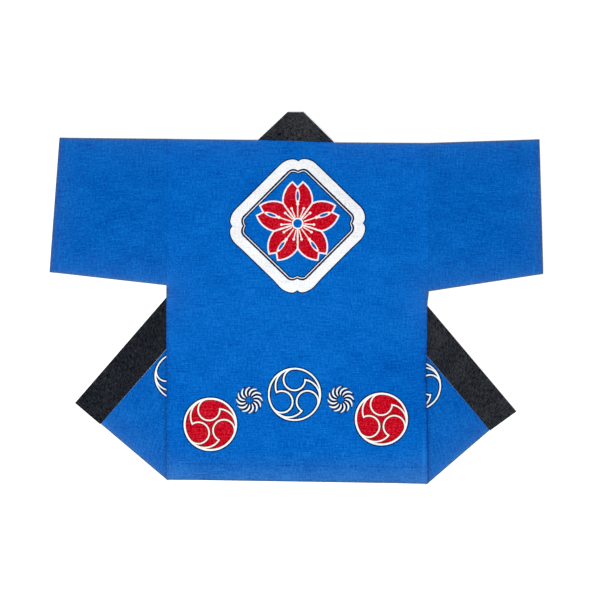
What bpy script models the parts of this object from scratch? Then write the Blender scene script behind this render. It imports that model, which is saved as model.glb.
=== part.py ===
"""Happi coat laid flat on a table, back up, with both fronts turned out to the sides.

Every piece of cloth is cut flat and then laid. A front is folded along a crease that runs from the foot
of its side seam to the neck, so that its lower half comes out from under the back, right side up. The
collar is one long band: it crosses the back of the neck, turns down at each side of it, runs under the
back, goes over the same crease as the front it is sewn to, and ends at the hem of the turned-out front.

Metres, +Z up. +Y points from the hem to the neck, -X to the wearer's left. The table is at Z = 0.
"""

import math
from collections import namedtuple

import bmesh
import bpy
import numpy as np
from mathutils import Vector
from mathutils.geometry import delaunay_2d_cdt

# ---- cloth --------------------------------------------------------------------------------------------
CLOTH = 0.0010  # one layer of the blue cotton
HEM = 0.0014  # the same cloth where its edge is turned in and stitched
HEM_DEPTH = 0.040  # width of the turned hem at the foot
CUFF_DEPTH = 0.012  # width of the turned hem at the cuffs
HEM_STEP = 0.0030  # over this width a hem thins out to one layer
BAND = 0.0024  # the collar band, folded over its own seam allowances
BAND_ROUND = 0.0007  # how far the band's edges are rounded off
BAND_OVER = 0.0015  # the band's ends reach this far past the hem
SEAM = 0.0004  # gap between two pieces that are sewn together
SEAM_OPEN = 0.0006  # gap between the bent edges of the back and a front
SEAM_TILT = 0.85  # share of a bent edge's thickness that stands upright

# ---- how the layers lie -------------------------------------------------------------------------------
TABLE = 0.0  # nothing reaches below this height
ROLL = 0.0015  # radius of every fold, at the middle of the cloth
FOLD_RISE = 2 * ROLL  # height of a layer over the part of it that is folded below
LAYER = 0.0020  # height of the back over the front that it lies on
BAND_EXTRA = 0.0010  # and this much more over the collar band
BAND_EASE = 0.020  # width over which the back comes down from the band to the front
RAMP = 0.030  # width over which a front comes down from what is folded under it
DRAPE = 0.070  # width over which the back comes down from the crease to the table
EDGE = 0.0016  # width over which an edge bends to its seam
EDGE_FACETS = (1 / 6, 1 / 2, 1)  # shares of that width at which the bend has a crease
EDGE_FADE = 0.012  # length over which that bend dies out at the armpit and the neck
NECK_GUSSET = 0.0034  # the shoulder seam stops this far out from the turn of the collar
SEAM_EASE = 0.0008  # the front's edge draws back this much more from the collar on the crease
FOOT_WIDTH = 0.005  # width of the front's hem that stays under the back, at the side seam
SLEEVE_LOFT = 0.0012  # extra height of a sleeve's upper layer at its fullest
LOFT_REACH = 0.4  # share of the sleeve's length over which that height grows from the armhole
FOLD_STEPS = 6  # facets round a fold
SHARP = math.radians(40)  # edges that turn more than this are shaded sharp

# ---- landmarks of the laid coat, one row for each side ------------------------------------------------
# Each is (distance out from the centre back line, distance up from the middle of the coat's length).
Side = namedtuple(
    "Side",
    "sign neck collar_top shoulder cuff_top cuff_foot armpit hem seam_foot seam_side band_foot band_side",
)
SIDES = {
    "left": Side(
        sign=-1,
        neck=(0.0906, 0.3786),
        collar_top=(0.0224, 0.4463),
        shoulder=(0.3080, 0.3810),
        cuff_top=(0.5682, 0.3836),
        cuff_foot=(0.5920, 0.0620),
        armpit=(0.3116, 0.0304),
        hem=(0.3114, -0.4362),
        seam_foot=(0.4696, -0.3023),  # the collar's seam at the hem of the turned-out front
        seam_side=(0.3114, -0.1223),  # and where it passes under the side seam
        band_foot=(0.5300, -0.2509),  # the collar's free edge at the same two places
        band_side=(0.3114, 0.0016),
    ),
    "right": Side(
        sign=1,
        neck=(0.0892, 0.3728),
        collar_top=(0.0182, 0.4463),
        shoulder=(0.3172, 0.3712),
        cuff_top=(0.5831, 0.3798),
        cuff_foot=(0.5922, 0.0577),
        armpit=(0.3176, 0.0157),
        hem=(0.3150, -0.4461),
        seam_foot=(0.4640, -0.3174),
        seam_side=(0.3138, -0.1391),
        band_foot=(0.5272, -0.2716),
        band_side=(0.3148, -0.0196),
    ),
}

BLUE = (0.0030, 0.1248, 0.5333, 1.0)
BLACK = (0.0160, 0.0185, 0.0232, 1.0)


# ---- plane geometry -----------------------------------------------------------------------------------
def unit(vector):
    return vector / np.linalg.norm(vector)


def left_of(vector):
    """The vector turned a quarter turn anticlockwise."""
    return np.array([-vector[1], vector[0]])


def crossing(p, q, r, s):
    """Where the line through p and q meets the line through r and s."""
    along, other = q - p, s - r
    share = np.dot(r - p, left_of(other)) / np.dot(along, left_of(other))
    return p + share * along


def beyond(points, p, q, side):
    """Distance of points from the line through p and q, positive on the side where the point `side` lies."""
    normal = left_of(unit(q - p))
    normal = normal * np.sign(np.dot(side - p, normal))
    return (points - p) @ normal


def ease(share):
    """0 below 0, 1 above 1, and a smooth S between them."""
    share = np.clip(share, 0.0, 1.0)
    return share * share * (3 - 2 * share)


def moved(p, q, away, towards):
    """The segment p q moved sideways by `away`, to the side where the point `towards` lies."""
    normal = left_of(unit(q - p))
    normal = normal * np.sign(np.dot(towards - p, normal))
    return [p + away * normal, q + away * normal]


# ---- folding ------------------------------------------------------------------------------------------
class Fold:
    """A flat fold of the cloth round a roll along a line.

    Cut coordinates are places on the cloth before it is folded. They run along the line and across it:
    positive across for the upper layer, negative for the lower one, with the roll between them.
    """

    HALF = ROLL * math.pi / 2  # half the cloth that the roll takes up

    def __init__(self, start, end, cloth_side):
        self.start = start
        self.along = unit(end - start)
        self.across = left_of(self.along)
        if np.dot(cloth_side - start, self.across) < 0:
            self.across = -self.across

    def cut(self, points, layer):
        """Cut coordinates of laid points of the upper (layer 1) or lower (layer -1) layer."""
        offset = points - self.start
        away = offset @ self.across - ROLL + self.HALF
        return np.stack([offset @ self.along, layer * away], axis=-1)

    def lay(self, cut):
        """Laid points, and the share of the way up the roll: 0 for the lower layer, 1 for the upper one."""
        along, across = cut[:, 0], cut[:, 1]
        on_roll = np.abs(across) < self.HALF
        turned = np.clip(across / ROLL, -math.pi / 2, math.pi / 2)
        away = np.where(on_roll, ROLL * (1 - np.cos(turned)), ROLL + np.abs(across) - self.HALF)
        laid = self.start + along[:, None] * self.along + away[:, None] * self.across
        return laid, (1 + np.sin(turned)) / 2

    def creases(self, reach):
        """Lines along the roll in cut coordinates, at its facets' edges."""
        for step in range(FOLD_STEPS + 1):
            across = self.HALF * (2 * step / FOLD_STEPS - 1)
            yield [np.array([-reach, across]), np.array([reach, across])]


class Lay:
    """One side of the coat: its landmarks as points, and the creases worked out from them."""

    def __init__(self, side):
        self.sign = side.sign
        for name, place in side._asdict().items():
            if name != "sign":
                setattr(self, name, np.array(place))
        # The band's free edge runs straight down from the collar's top corner to the crease.
        down = np.array([self.collar_top[0], 0.0])
        self.turn_free = crossing(self.band_foot, self.band_side, self.collar_top, down)
        crease_foot = self.hem - np.array([FOOT_WIDTH, 0.0])
        self.crease = Fold(crease_foot, self.turn_free, self.cuff_foot)
        self.turn_seam = crossing(self.seam_foot, self.seam_side, crease_foot, self.turn_free)
        self.neck_turn = Fold(self.neck, self.collar_top, self.turn_seam)
        self.shoulder_end = self.neck + np.array([NECK_GUSSET, 0.0])
        self.far_shoulder = self.shoulder * (-1, 1)

    def under_front(self, points):
        """Height of the front's underside: over its turned-out part, and down to the table past it."""
        past = beyond(points, self.band_foot, self.band_side, self.shoulder)
        return FOLD_RISE * ease(1 - past / RAMP)

    def layer(self, points):
        """Height of the back's underside over the front's, and more of it over the collar band."""
        from_band = beyond(points, self.neck, self.turn_seam, self.shoulder)
        return LAYER + BAND_EXTRA * ease(1 - from_band / BAND_EASE)

    def under_back(self, points):
        """Height that this side gives the back's underside, which comes down to the table past the crease."""
        past_crease = beyond(points, self.crease.start, self.turn_free, self.far_shoulder)
        past_band = beyond(points, self.turn_free, self.collar_top, self.far_shoulder)
        inward = np.maximum(past_crease, past_band)
        return (self.under_front(points) + self.layer(points)) * ease(1 - inward / DRAPE)

    def seam_bend(self, points, thickness):
        """How far the back bends down, and the front up, to meet at the side seam and at the shoulder."""
        most = (self.layer(points) - SEAM_OPEN - SEAM_TILT * thickness) / 2
        at_side = edge_bend(-beyond(points, self.hem, self.armpit, self.cuff_foot))
        at_side = at_side * ease((self.armpit[1] - points[:, 1]) / EDGE_FADE)
        at_shoulder = edge_bend(beyond(points, self.shoulder, self.shoulder_end, self.hem))
        at_shoulder = at_shoulder * ease((points[:, 0] - self.shoulder_end[0]) / EDGE_FADE)
        return most * np.maximum(at_side, at_shoulder)

    def body_edges(self):
        """The seams where the back and the front meet, as segments with a point of the cloth beside each."""
        return [(self.hem, self.armpit), (self.shoulder, self.shoulder_end)]

    def ramp_creases(self):
        """Lines along the slope where the front comes down past its turned-out part."""
        past_turn = self.turn_free + 2 * RAMP * unit(self.turn_free - self.band_foot)
        for share in (0.0, 0.15, 0.3, 0.5, 0.7, 0.85, 1.0):
            yield moved(self.band_foot, past_turn, share * RAMP, self.shoulder)

    def drape_creases(self):
        """Lines along the slopes where the back comes down past the crease, and beside the collar band."""
        for share in (0.0, 0.15, 0.35, 0.5, 0.65, 0.85, 1.0):
            yield moved(self.crease.start, self.turn_free, share * DRAPE, self.far_shoulder)
            yield moved(self.turn_free, self.collar_top, share * DRAPE, self.far_shoulder)
        for share in (0.0, 0.5, 1.0):
            yield moved(self.neck, self.turn_seam, share * BAND_EASE, self.shoulder)

    def world(self, points, heights):
        return np.column_stack([self.sign * points[:, 0], points[:, 1], heights])


def edge_bend(inside):
    """Quarter ellipse from 0 at EDGE inside an edge to 1 on it."""
    share = np.clip(1 - inside / EDGE, 0.0, 1.0)
    return 1 - np.sqrt(1 - share * share)


def edge_creases(p, q, cloth_side):
    """The creases of the bend along the edge p q."""
    for share in EDGE_FACETS:
        yield moved(p, q, share * EDGE, cloth_side)


def hem_thickness(from_edge, depth):
    """Thickness of the cloth at distances from an edge that has a hem of this depth."""
    return HEM + (CLOTH - HEM) * np.clip((from_edge - depth) / HEM_STEP, 0.0, 1.0)


# ---- meshes -------------------------------------------------------------------------------------------
def inside(points, outline):
    """Which points lie in the outline, by counting the edges that a ray to the right crosses."""
    count = np.zeros(len(points), int)
    for p, q in zip(outline, np.roll(outline, -1, axis=0)):
        spans = (p[1] > points[:, 1]) != (q[1] > points[:, 1])
        rise = q[1] - p[1] if q[1] != p[1] else 1.0
        at = p[0] + (points[:, 1] - p[1]) * (q[0] - p[0]) / rise
        count += spans & (points[:, 0] < at)
    return count % 2 == 1


def cut_mesh(outline, creases):
    """A flat cut as triangles: the outline, with the crease lines as edges inside it."""
    in_mm = 1000.0
    places = [Vector(p * in_mm) for p in outline]
    edges = [(i, (i + 1) % len(outline)) for i in range(len(outline))]
    for p, q in creases:
        edges.append((len(places), len(places) + 1))
        places += [Vector(p * in_mm), Vector(q * in_mm)]
    found, _, faces, *_ = delaunay_2d_cdt(places, edges, [], 0, 1e-3)
    points = np.array([tuple(v) for v in found]) / in_mm
    faces = np.array([f for f in faces], int)
    faces = faces[inside(points[faces].mean(axis=1), np.array(outline))]
    used, faces = np.unique(faces, return_inverse=True)
    return points[used], faces.reshape(-1, 3)


def tube_faces(rings, around):
    """Triangles of a tube whose points are numbered ring by ring, `around` points to each ring."""
    ring, place = np.divmod(np.arange((rings - 1) * around), around)
    start, beside = ring * around + place, ring * around + (place + 1) % around
    first = np.column_stack([start, beside, beside + around])
    second = np.column_stack([start, beside + around, start + around])
    return np.concatenate([first, second])


def point_normals(points, faces):
    """The mean of the normals of the faces at each point, weighted by their angles there."""
    total = np.zeros_like(points)
    corners = points[faces]
    flat = np.cross(corners[:, 1] - corners[:, 0], corners[:, 2] - corners[:, 0])
    flat /= np.maximum(np.linalg.norm(flat, axis=1), 1e-18)[:, None]
    for i in range(3):
        one = corners[:, (i + 1) % 3] - corners[:, i]
        two = corners[:, (i + 2) % 3] - corners[:, i]
        lengths = np.linalg.norm(one, axis=1) * np.linalg.norm(two, axis=1)
        cosine = (one * two).sum(1) / np.maximum(lengths, 1e-18)
        np.add.at(total, faces[:, i], flat * np.arccos(np.clip(cosine, -1, 1))[:, None])
    return total / np.linalg.norm(total, axis=1)[:, None]


def rim_edges(faces):
    """Edges with a face on one side only, in the direction in which that face runs round."""
    edges = np.concatenate([faces[:, [0, 1]], faces[:, [1, 2]], faces[:, [2, 0]]])
    _, index, count = np.unique(np.sort(edges, axis=1), axis=0, return_inverse=True, return_counts=True)
    return edges[count[index.ravel()] == 1]


def wall(name, points, faces, thickness, material, rounded=0.0):
    """A closed wall of cloth round a middle surface, with its rim rounded off by `rounded`."""
    normals = point_normals(points, faces)
    rim = rim_edges(faces)
    inset = np.zeros_like(points)
    if rounded:
        runs = points[rim[:, 1]] - points[rim[:, 0]]
        runs /= np.linalg.norm(runs, axis=1)[:, None]
        for end in range(2):
            np.add.at(inset, rim[:, end], np.cross(normals[rim[:, end]], runs))
        on_rim = np.unique(rim)
        inset[on_rim] *= rounded / np.linalg.norm(inset[on_rim], axis=1)[:, None]
    half = np.broadcast_to(np.asarray(thickness) / 2, len(points))[:, None] * normals
    count = len(points)
    skins = [points + half + inset, points - half + inset]
    for skin in skins:
        skin[:, 2] = np.maximum(skin[:, 2], TABLE)
    quads = [(rim[:, 0], rim[:, 1], 0, count)]
    if rounded:
        skins.append(points)
        quads = [(rim[:, 0], rim[:, 1], 0, 2 * count), (rim[:, 0], rim[:, 1], 2 * count, count)]
    polygons = faces.tolist() + (faces[:, ::-1] + count).tolist()
    for one, two, upper, lower in quads:
        polygons += np.column_stack([two + upper, one + upper, one + lower, two + lower]).tolist()
    mesh = bpy.data.meshes.new(name)
    mesh.from_pydata(np.concatenate(skins).tolist(), [], polygons)
    work = bmesh.new()
    work.from_mesh(mesh)
    bmesh.ops.delete(work, geom=[v for v in work.verts if not v.link_faces], context="VERTS")
    bmesh.ops.triangulate(work, faces=work.faces)
    bmesh.ops.recalc_face_normals(work, faces=work.faces)
    work.to_mesh(mesh)
    work.free()
    mesh.shade_smooth()
    mesh.set_sharp_from_angle(angle=SHARP)
    mesh.materials.append(material)
    piece = bpy.data.objects.new(name, mesh)
    bpy.context.scene.collection.objects.link(piece)
    return piece


def finish(name, colour, roughness):
    """A plain dyed cloth."""
    material = bpy.data.materials.new(name)
    material.use_nodes = True
    shader = material.node_tree.nodes["Principled BSDF"]
    shader.inputs["Base Color"].default_value = colour
    shader.inputs["Roughness"].default_value = roughness
    shader.inputs["Metallic"].default_value = 0.0
    material.diffuse_color = colour
    return material


# ---- pieces -------------------------------------------------------------------------------------------
def back_underside(sides, places):
    """Height of the back's underside: whichever side of the coat lifts it more."""
    return np.maximum(*(lay.under_back(places * (lay.sign, 1)) for lay in sides.values()))


def make_back(sides, material):
    """The back: one panel from hem to shoulder, lying on the fronts at its sides and on the table between."""
    flip = np.array([-1.0, 1.0])
    left, right = sides["left"], sides["right"]
    armhole_gap = np.array([SEAM / 2, 0.0])
    outline = []
    for lay, order in ((right, 1), (left, -1)):
        corners = [lay.hem, lay.armpit, lay.armpit - armhole_gap, lay.shoulder - armhole_gap]
        corners += [lay.shoulder_end, lay.neck]
        outline += [p * (lay.sign, 1) for p in corners[::order]]
    creases = []
    for lay in sides.values():
        lines = list(lay.ramp_creases())
        for p, q in lay.body_edges():
            lines += edge_creases(p, q, lay.turn_seam)
        lines += lay.drape_creases()
        creases += [[p * (lay.sign, 1), q * (lay.sign, 1)] for p, q in lines]
    hem_left, hem_right = left.hem * flip, right.hem
    for depth in (HEM_DEPTH, HEM_DEPTH + HEM_STEP):
        creases.append(moved(hem_left, hem_right, depth, right.shoulder))
    points, faces = cut_mesh(outline, creases)
    thickness = hem_thickness(beyond(points, hem_left, hem_right, right.shoulder), HEM_DEPTH)
    by_sign = {lay.sign: lay for lay in sides.values()}
    out = {sign: points * (sign, 1) for sign in by_sign}
    heights = back_underside(sides, points)
    bends = [np.where(out[s][:, 0] > 0, lay.seam_bend(out[s], thickness), 0) for s, lay in by_sign.items()]
    heights += thickness / 2 - np.maximum(*bends)
    return wall("back", np.column_stack([points, heights]), faces, thickness, material)


def make_front(name, lay, material):
    """A front: from the shoulder down under the back, over the crease, and out to the side, right side up."""
    crease = lay.crease
    gap = SEAM / 2
    armhole_gap = np.array([gap, 0.0])
    neck_edge = [lay.shoulder_end, moved(lay.neck, lay.turn_seam, gap + SEAM_EASE, lay.shoulder)[1]]
    seam_edge = [
        moved(lay.seam_foot, lay.turn_seam, gap, lay.hem)[0],
        moved(lay.seam_foot, lay.turn_seam, gap + SEAM_EASE, lay.hem)[1],
    ]
    roll_line = moved(crease.start, lay.turn_free, ROLL, lay.shoulder)
    upper = [lay.hem, lay.armpit, lay.armpit - armhole_gap, lay.shoulder - armhole_gap, lay.shoulder_end]
    upper.append(crossing(*neck_edge, *roll_line))
    hem_line = [lay.hem, lay.seam_foot]
    lower = [crossing(*seam_edge, *roll_line), crossing(*seam_edge, *hem_line)]
    outline = [crease.cut(p, 1) for p in upper] + [crease.cut(p, -1) for p in lower]
    creases = list(crease.creases(reach=1.0))
    lines = list(lay.ramp_creases())
    for p, q in lay.body_edges():
        lines += edge_creases(p, q, lay.turn_seam)
    creases += [[crease.cut(p, 1), crease.cut(q, 1)] for p, q in lines]
    hem_cut = [outline[0], outline[-1]]
    for depth in (HEM_DEPTH, HEM_DEPTH + HEM_STEP):
        creases.append(moved(*hem_cut, depth, outline[1]))
    cut, faces = cut_mesh(outline, creases)
    thickness = hem_thickness(beyond(cut, *hem_cut, outline[1]), HEM_DEPTH)
    laid, share = crease.lay(cut)
    upper_layer = cut[:, 1] >= crease.HALF
    heights = np.where(upper_layer, lay.under_front(laid) + lay.seam_bend(laid, thickness), share * FOLD_RISE)
    return wall(name, lay.world(laid, heights + thickness / 2), faces, thickness, material)


def make_sleeve(name, lay, material):
    """A sleeve: a flattened tube, folded along the shoulder line and the underarm seam, open at both ends."""
    length = np.linalg.norm(lay.cuff_top - lay.shoulder)
    from_cuff = [0.0, CUFF_DEPTH, CUFF_DEPTH + HEM_STEP]
    from_cuff += [share * length for share in (0.25, 0.5, 0.75, 0.9)]
    from_cuff += [length - RAMP / 2, length - SEAM]
    radius = LAYER / 2
    turn = np.linspace(-math.pi / 2, math.pi / 2, FOLD_STEPS + 1)
    up_the_sleeve = np.array([0.05, 0.2, 0.4, 0.6, 0.8, 0.95])
    rows, thicknesses = [], []
    for away in from_cuff:
        share = 1 - away / length
        top = lay.shoulder + share * (lay.cuff_top - lay.shoulder)
        foot = lay.armpit + share * (lay.cuff_foot - lay.armpit)
        depth = np.linalg.norm(top - foot)
        loft = SLEEVE_LOFT * ease(share / LOFT_REACH)
        from_foot = np.concatenate(
            [
                radius * (1 - np.cos(turn[::-1])),
                up_the_sleeve * depth,
                depth - radius * (1 - np.cos(turn)),
                up_the_sleeve[::-1] * depth,
            ]
        )
        level = radius * (1 + np.sin(turn))
        full = LAYER + loft * np.sin(np.pi * up_the_sleeve[::-1])
        above = np.concatenate([level[::-1], np.zeros(len(full)), level, full])
        place = foot + (from_foot / depth)[:, None] * (top - foot)
        thickness = hem_thickness(away, CUFF_DEPTH)
        rows.append(lay.world(place, lay.under_front(place) + above + thickness / 2))
        thicknesses.append(np.full(len(place), thickness))
    faces = tube_faces(len(rows), len(rows[0]))
    return wall(name, np.concatenate(rows), faces, np.concatenate(thicknesses), material)


def collar_half(lay, neck_middle, sides):
    """One half of the collar band as a laid surface, from the middle of the neck to the hem of the front.

    The cut plane is the crease's own. The neck's turn lies in it as a second fold, and the part of the band
    that crosses the back of the neck lies past it.
    """
    crease, turn = lay.crease, lay.neck_turn
    gap = SEAM / 2
    turn_start = crease.cut(lay.neck + (ROLL - turn.HALF) * turn.across, 1)
    turn_along = np.array([turn.along @ crease.along, turn.along @ crease.across])
    turn_across = np.array([turn.across @ crease.along, turn.across @ crease.across])

    def cut_neck(p):
        away = (p - lay.neck) @ turn.across - ROLL + turn.HALF
        return turn_start + ((p - lay.neck) @ turn.along) * turn_along - away * turn_across

    top_middle = np.array([0.0, lay.collar_top[1]])
    neck_line = [lay.neck + np.array([0, 2 * SEAM]), neck_middle + np.array([0, SEAM])]  # clear of the turn
    top_line = [lay.collar_top, top_middle]
    turn_line = moved(lay.neck, lay.collar_top, ROLL, lay.turn_seam)
    roll_line = moved(crease.start, lay.turn_free, ROLL, lay.shoulder)
    seam_hidden = moved(lay.neck, lay.turn_seam, gap, lay.collar_top)
    free_hidden = [lay.collar_top, lay.turn_free]
    seam_out = moved(lay.seam_foot, lay.seam_side, gap, lay.band_foot)
    free_out = [lay.band_foot, lay.band_side]
    foot_line = moved(lay.band_foot, lay.seam_foot, -BAND_OVER, lay.seam_side)
    outline = [
        cut_neck(neck_line[1]),
        cut_neck(crossing(*neck_line, *turn_line)),
        crease.cut(crossing(*seam_hidden, *turn_line), 1),
        crease.cut(crossing(*seam_hidden, *roll_line), 1),
        crease.cut(crossing(*seam_out, *roll_line), -1),
        crease.cut(crossing(*seam_out, *foot_line), -1),
        crease.cut(crossing(*free_out, *foot_line), -1),
        crease.cut(crossing(*free_out, *roll_line), -1),
        crease.cut(crossing(*free_hidden, *roll_line), 1),
        crease.cut(crossing(*free_hidden, *turn_line), 1),
        cut_neck(crossing(*top_line, *turn_line)),
        cut_neck(top_middle),
    ]
    creases = list(crease.creases(reach=1.0))
    for p, q in lay.ramp_creases():
        creases.append([crease.cut(p, 1), crease.cut(q, 1)])
    for line in turn.creases(reach=0.2):
        creases.append([turn_start + p[0] * turn_along - p[1] * turn_across for p in line])
    cut, faces = cut_mesh(outline, creases)

    hidden, share = crease.lay(cut)
    hidden_height = np.where(cut[:, 1] >= crease.HALF, lay.under_front(hidden), share * FOLD_RISE)
    from_turn = np.column_stack([(cut - turn_start) @ turn_along, -((cut - turn_start) @ turn_across)])
    neck, neck_share = turn.lay(from_turn)
    on_neck = from_turn[:, 1] >= turn.HALF
    neck_height = np.where(on_neck, back_underside(sides, neck * (lay.sign, 1)), neck_share * FOLD_RISE)
    past_turn = from_turn[:, 1] > -turn.HALF
    laid = np.where(past_turn[:, None], neck, hidden)
    height = np.where(past_turn, neck_height, hidden_height)
    return lay.world(laid, height + BAND / 2), faces if lay.sign > 0 else faces[:, ::-1]


def make_collar(sides, material):
    """The collar: one band, its halves joined at the middle of the back neck."""
    left, right = sides["left"], sides["right"]
    neck_middle = np.array([0.0, (left.neck[1] + right.neck[1]) / 2])
    halves = [collar_half(lay, neck_middle, sides) for lay in (left, right)]
    points = np.concatenate([half[0] for half in halves])
    faces = np.concatenate([halves[0][1], halves[1][1] + len(halves[0][0])])
    weld = 1e-5
    _, first, index = np.unique(np.round(points / weld), axis=0, return_index=True, return_inverse=True)
    return wall("collar", points[first], index.ravel()[faces], BAND, material, rounded=BAND_ROUND)


def main():
    for thing in list(bpy.data.objects):
        bpy.data.objects.remove(thing)
    blue, black = finish("blue_cotton", BLUE, 0.85), finish("black_cotton", BLACK, 0.8)
    sides = {name: Lay(side) for name, side in SIDES.items()}
    make_back(sides, blue)
    for name, lay in sides.items():
        make_front(f"front_{name}", lay, blue)
        make_sleeve(f"sleeve_{name}", lay, blue)
    make_collar(sides, black)


main()
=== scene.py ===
"""Looks of a happi coat laid flat: walls of cotton on the form of its pieces, with stitches and prints.

Metres, +Z up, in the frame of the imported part. The coat lies back up: the back on the fronts, with the
collar band and the fronts' lower halves turned out from under it. The table is at Z = 0.
"""

import math
from collections import namedtuple

import bpy
import numpy as np
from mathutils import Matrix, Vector


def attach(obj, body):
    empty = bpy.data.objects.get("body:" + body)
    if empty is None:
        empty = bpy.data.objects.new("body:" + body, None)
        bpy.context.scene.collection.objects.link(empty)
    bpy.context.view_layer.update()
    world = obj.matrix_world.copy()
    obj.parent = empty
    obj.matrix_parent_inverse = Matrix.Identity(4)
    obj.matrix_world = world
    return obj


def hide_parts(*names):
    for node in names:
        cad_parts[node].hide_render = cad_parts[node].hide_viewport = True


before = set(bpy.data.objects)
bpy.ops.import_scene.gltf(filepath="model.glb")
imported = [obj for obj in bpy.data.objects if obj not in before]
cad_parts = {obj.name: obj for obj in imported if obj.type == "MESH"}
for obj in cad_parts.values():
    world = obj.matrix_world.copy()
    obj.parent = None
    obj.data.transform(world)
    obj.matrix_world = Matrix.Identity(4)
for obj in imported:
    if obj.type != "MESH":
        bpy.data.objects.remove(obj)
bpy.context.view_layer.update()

# ---- cloth, as the construction has it ----
CLOTH = 0.0010  # one layer of the blue cotton
HEM = 0.0014  # the same cloth where its edge is turned in and stitched
HEM_DEPTH = 0.040
CUFF_DEPTH = 0.012
HEM_STEP = 0.0030  # over this width a hem thins out to one layer
BAND = 0.0024  # thickness of the collar band
BAND_WIDTH = 0.0755  # from its seam to its free edge
BAND_OVER = 0.0015  # the band's ends reach this far past the hem
BACK_SPARE = 0.010  # what the rectangle that the back was cut from has over its height
FRONT_SPARE = 0.12  # and the one of a front over its width
SEAM = 0.00004  # gap between two pieces that are sewn together
SEAM_OPEN = 0.0006  # gap between the bent edges of the back and a front
SEAM_TILT = 0.85  # share of a bent edge's thickness that stands upright
ROLL = 0.0015  # radius of every fold, at the middle of the cloth
FOLD_RISE = 2 * ROLL
LAYER = 0.0020  # height of the back over the front that it lies on
BAND_EXTRA = 0.0010  # and this much more over the collar band
BAND_EASE = 0.020  # width over which the back comes down from the band to the front
RAMP = 0.030  # width over which a front comes down from what is folded under it
DRAPE = 0.070  # width over which the back comes down from the crease to the table
EDGE = 0.0016  # width over which an edge bends to its seam
EDGE_FADE = 0.012  # length over which that bend dies out at the armpit and the neck
NECK_GUSSET = 0.0034  # the shoulder seam stops this far out from the turn of the collar
SEAM_EASE = 0.0008  # the front's edge draws back this much more from the collar on the crease
FOOT_WIDTH = 0.005  # width of the front's hem that stays under the back, at the side seam
SLEEVE_LOFT = 0.0014  # how much the upper layer of a sleeve stands off the lower one
BACK_LOFT = 0.0008
LOFT_EDGE = 0.012  # a loft falls off towards an edge within about this distance
LOFT_REACH = 0.4  # share of the sleeve's length over which that height grows from the armhole

# Landmarks of the laid coat, one row for each side: distance out from the centre back line, and up from the
# middle of the coat's length. The waist is how far the side seam bows in, which only the looks have.
Side = namedtuple(
    "Side",
    "sign neck collar_top shoulder cuff_top cuff_foot armpit hem "
    "seam_foot seam_side band_foot band_side waist",
)
SIDES = {
    "left": Side(
        sign=-1,
        neck=(0.0906, 0.3786),
        collar_top=(0.0196, 0.4454),
        shoulder=(0.3080, 0.3810),
        cuff_top=(0.5682, 0.3836),
        cuff_foot=(0.5920, 0.0620),
        armpit=(0.3116, 0.0304),
        hem=(0.3114, -0.4362),
        seam_foot=(0.4696, -0.3023),
        seam_side=(0.3114, -0.1223),
        band_foot=(0.5300, -0.2509),
        band_side=(0.3114, 0.0016),
        waist=0.0,
    ),
    "right": Side(
        sign=1,
        neck=(0.0892, 0.3728),
        collar_top=(0.0158, 0.4454),
        shoulder=(0.3172, 0.3712),
        cuff_top=(0.5831, 0.3798),
        cuff_foot=(0.5922, 0.0577),
        armpit=(0.3176, 0.0157),
        hem=(0.3150, -0.4461),
        seam_foot=(0.4640, -0.3174),
        seam_side=(0.3138, -0.1391),
        band_foot=(0.5272, -0.2716),
        band_side=(0.3148, -0.0196),
        waist=0.0058,
    ),
}

# ---- softness of the laid cloth, which only the looks have ----
ARMHOLE_DIP = 0.00012  # how far the cloth dips into the armhole seam
ARMHOLE_EDGE = 0.0024  # on both sides of it
SWELL = 0.0008  # most that the laid cloth stands off what it lies on
SWELL_EDGE = 0.035  # that dies out over this distance from an edge
SWELL_WAVES, SWELL_LENGTHS, SWELL_LONG = 14, (0.07, 0.32), 0.8  # how many, how long, and the weight's power
SWELL_SPREAD = 1.2
RIDGE_BEND, RIDGE_FADE = 0.06, 0.35  # how far a ridge bends sideways and fades in, as shares of its length
PUCKER = 0.00012  # ripple of the cloth along a line of stitches
PUCKER_PITCH = 0.013
PUCKER_REACH = 0.010
HEM_EASE = 0.004  # softness dies out this close to the edge of a hem or to a fold
FRONT_EASE = 0.020
PUCKER_DRIFT = (1.7, 4.3)  # most that its beat drifts, and over how many pitches
SEEDS = {"back": 3, "front": 5, "sleeve": 11}  # of the swell; a side's sign is added to the last two
Bell = namedtuple("Bell", "middle spread share")
WAIST_BELLS = (Bell(-0.190, 0.120, 1.0), Bell(-0.020, 0.060, 0.45))  # these add up to a side seam's bow
WAIST_FADE = 0.030  # the bow dies out over this length below the armpit
SIDE_POINTS = 80

# ---- meshes: steps between their rows and columns, and (reach, step) where these are closer ----
STEP = 0.0040
FRONT_STEPS = (0.0030, 0.0060)  # of its lower and upper layer
FRONT_WIDTH = 0.62  # about as wide as a front is, from which its columns are spaced
SLEEVE_STEP = 0.0045
BAND_STEP = 0.0035
BAND_RUNS = (BAND_STEP, 0.0004, 0.0080, 0.0004, BAND_STEP)  # neck, a turn, under the back, a turn, flap
ROLL_ROWS = 13  # round a fold of a front
TURN_COLUMNS = 9  # round a fold of a sleeve
SLEEVE_COLUMNS = 84  # across one of its layers
AT_SEAM = (0.0024, 0.0004)
AT_HEM = (0.0020, 0.0005)
AT_HEM_STEP = (0.0030, 0.0006)  # where a hem thins out
AT_FRONT_HEM = (0.0020, 0.0004)
AT_CUFF = (0.0015, 0.0005)
AT_ARMHOLE = (0.0030, 0.0005)
AT_BAND_EDGE = (0.0025, 0.0006)
BLUNT = 0.0008  # a front's grid stops this far before its pointed corners
CREST_SLOT = 172  # half the width of the square of the back that has the crest's print, in mm
BORDER_SLOT = (285, 75)  # the same for the border's strip, and its reach past the roundels' middles
EDGE_ROUND = 0.00025  # how far the edge of the cloth is rounded off
FRONT_ROUND = 0.0004
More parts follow.
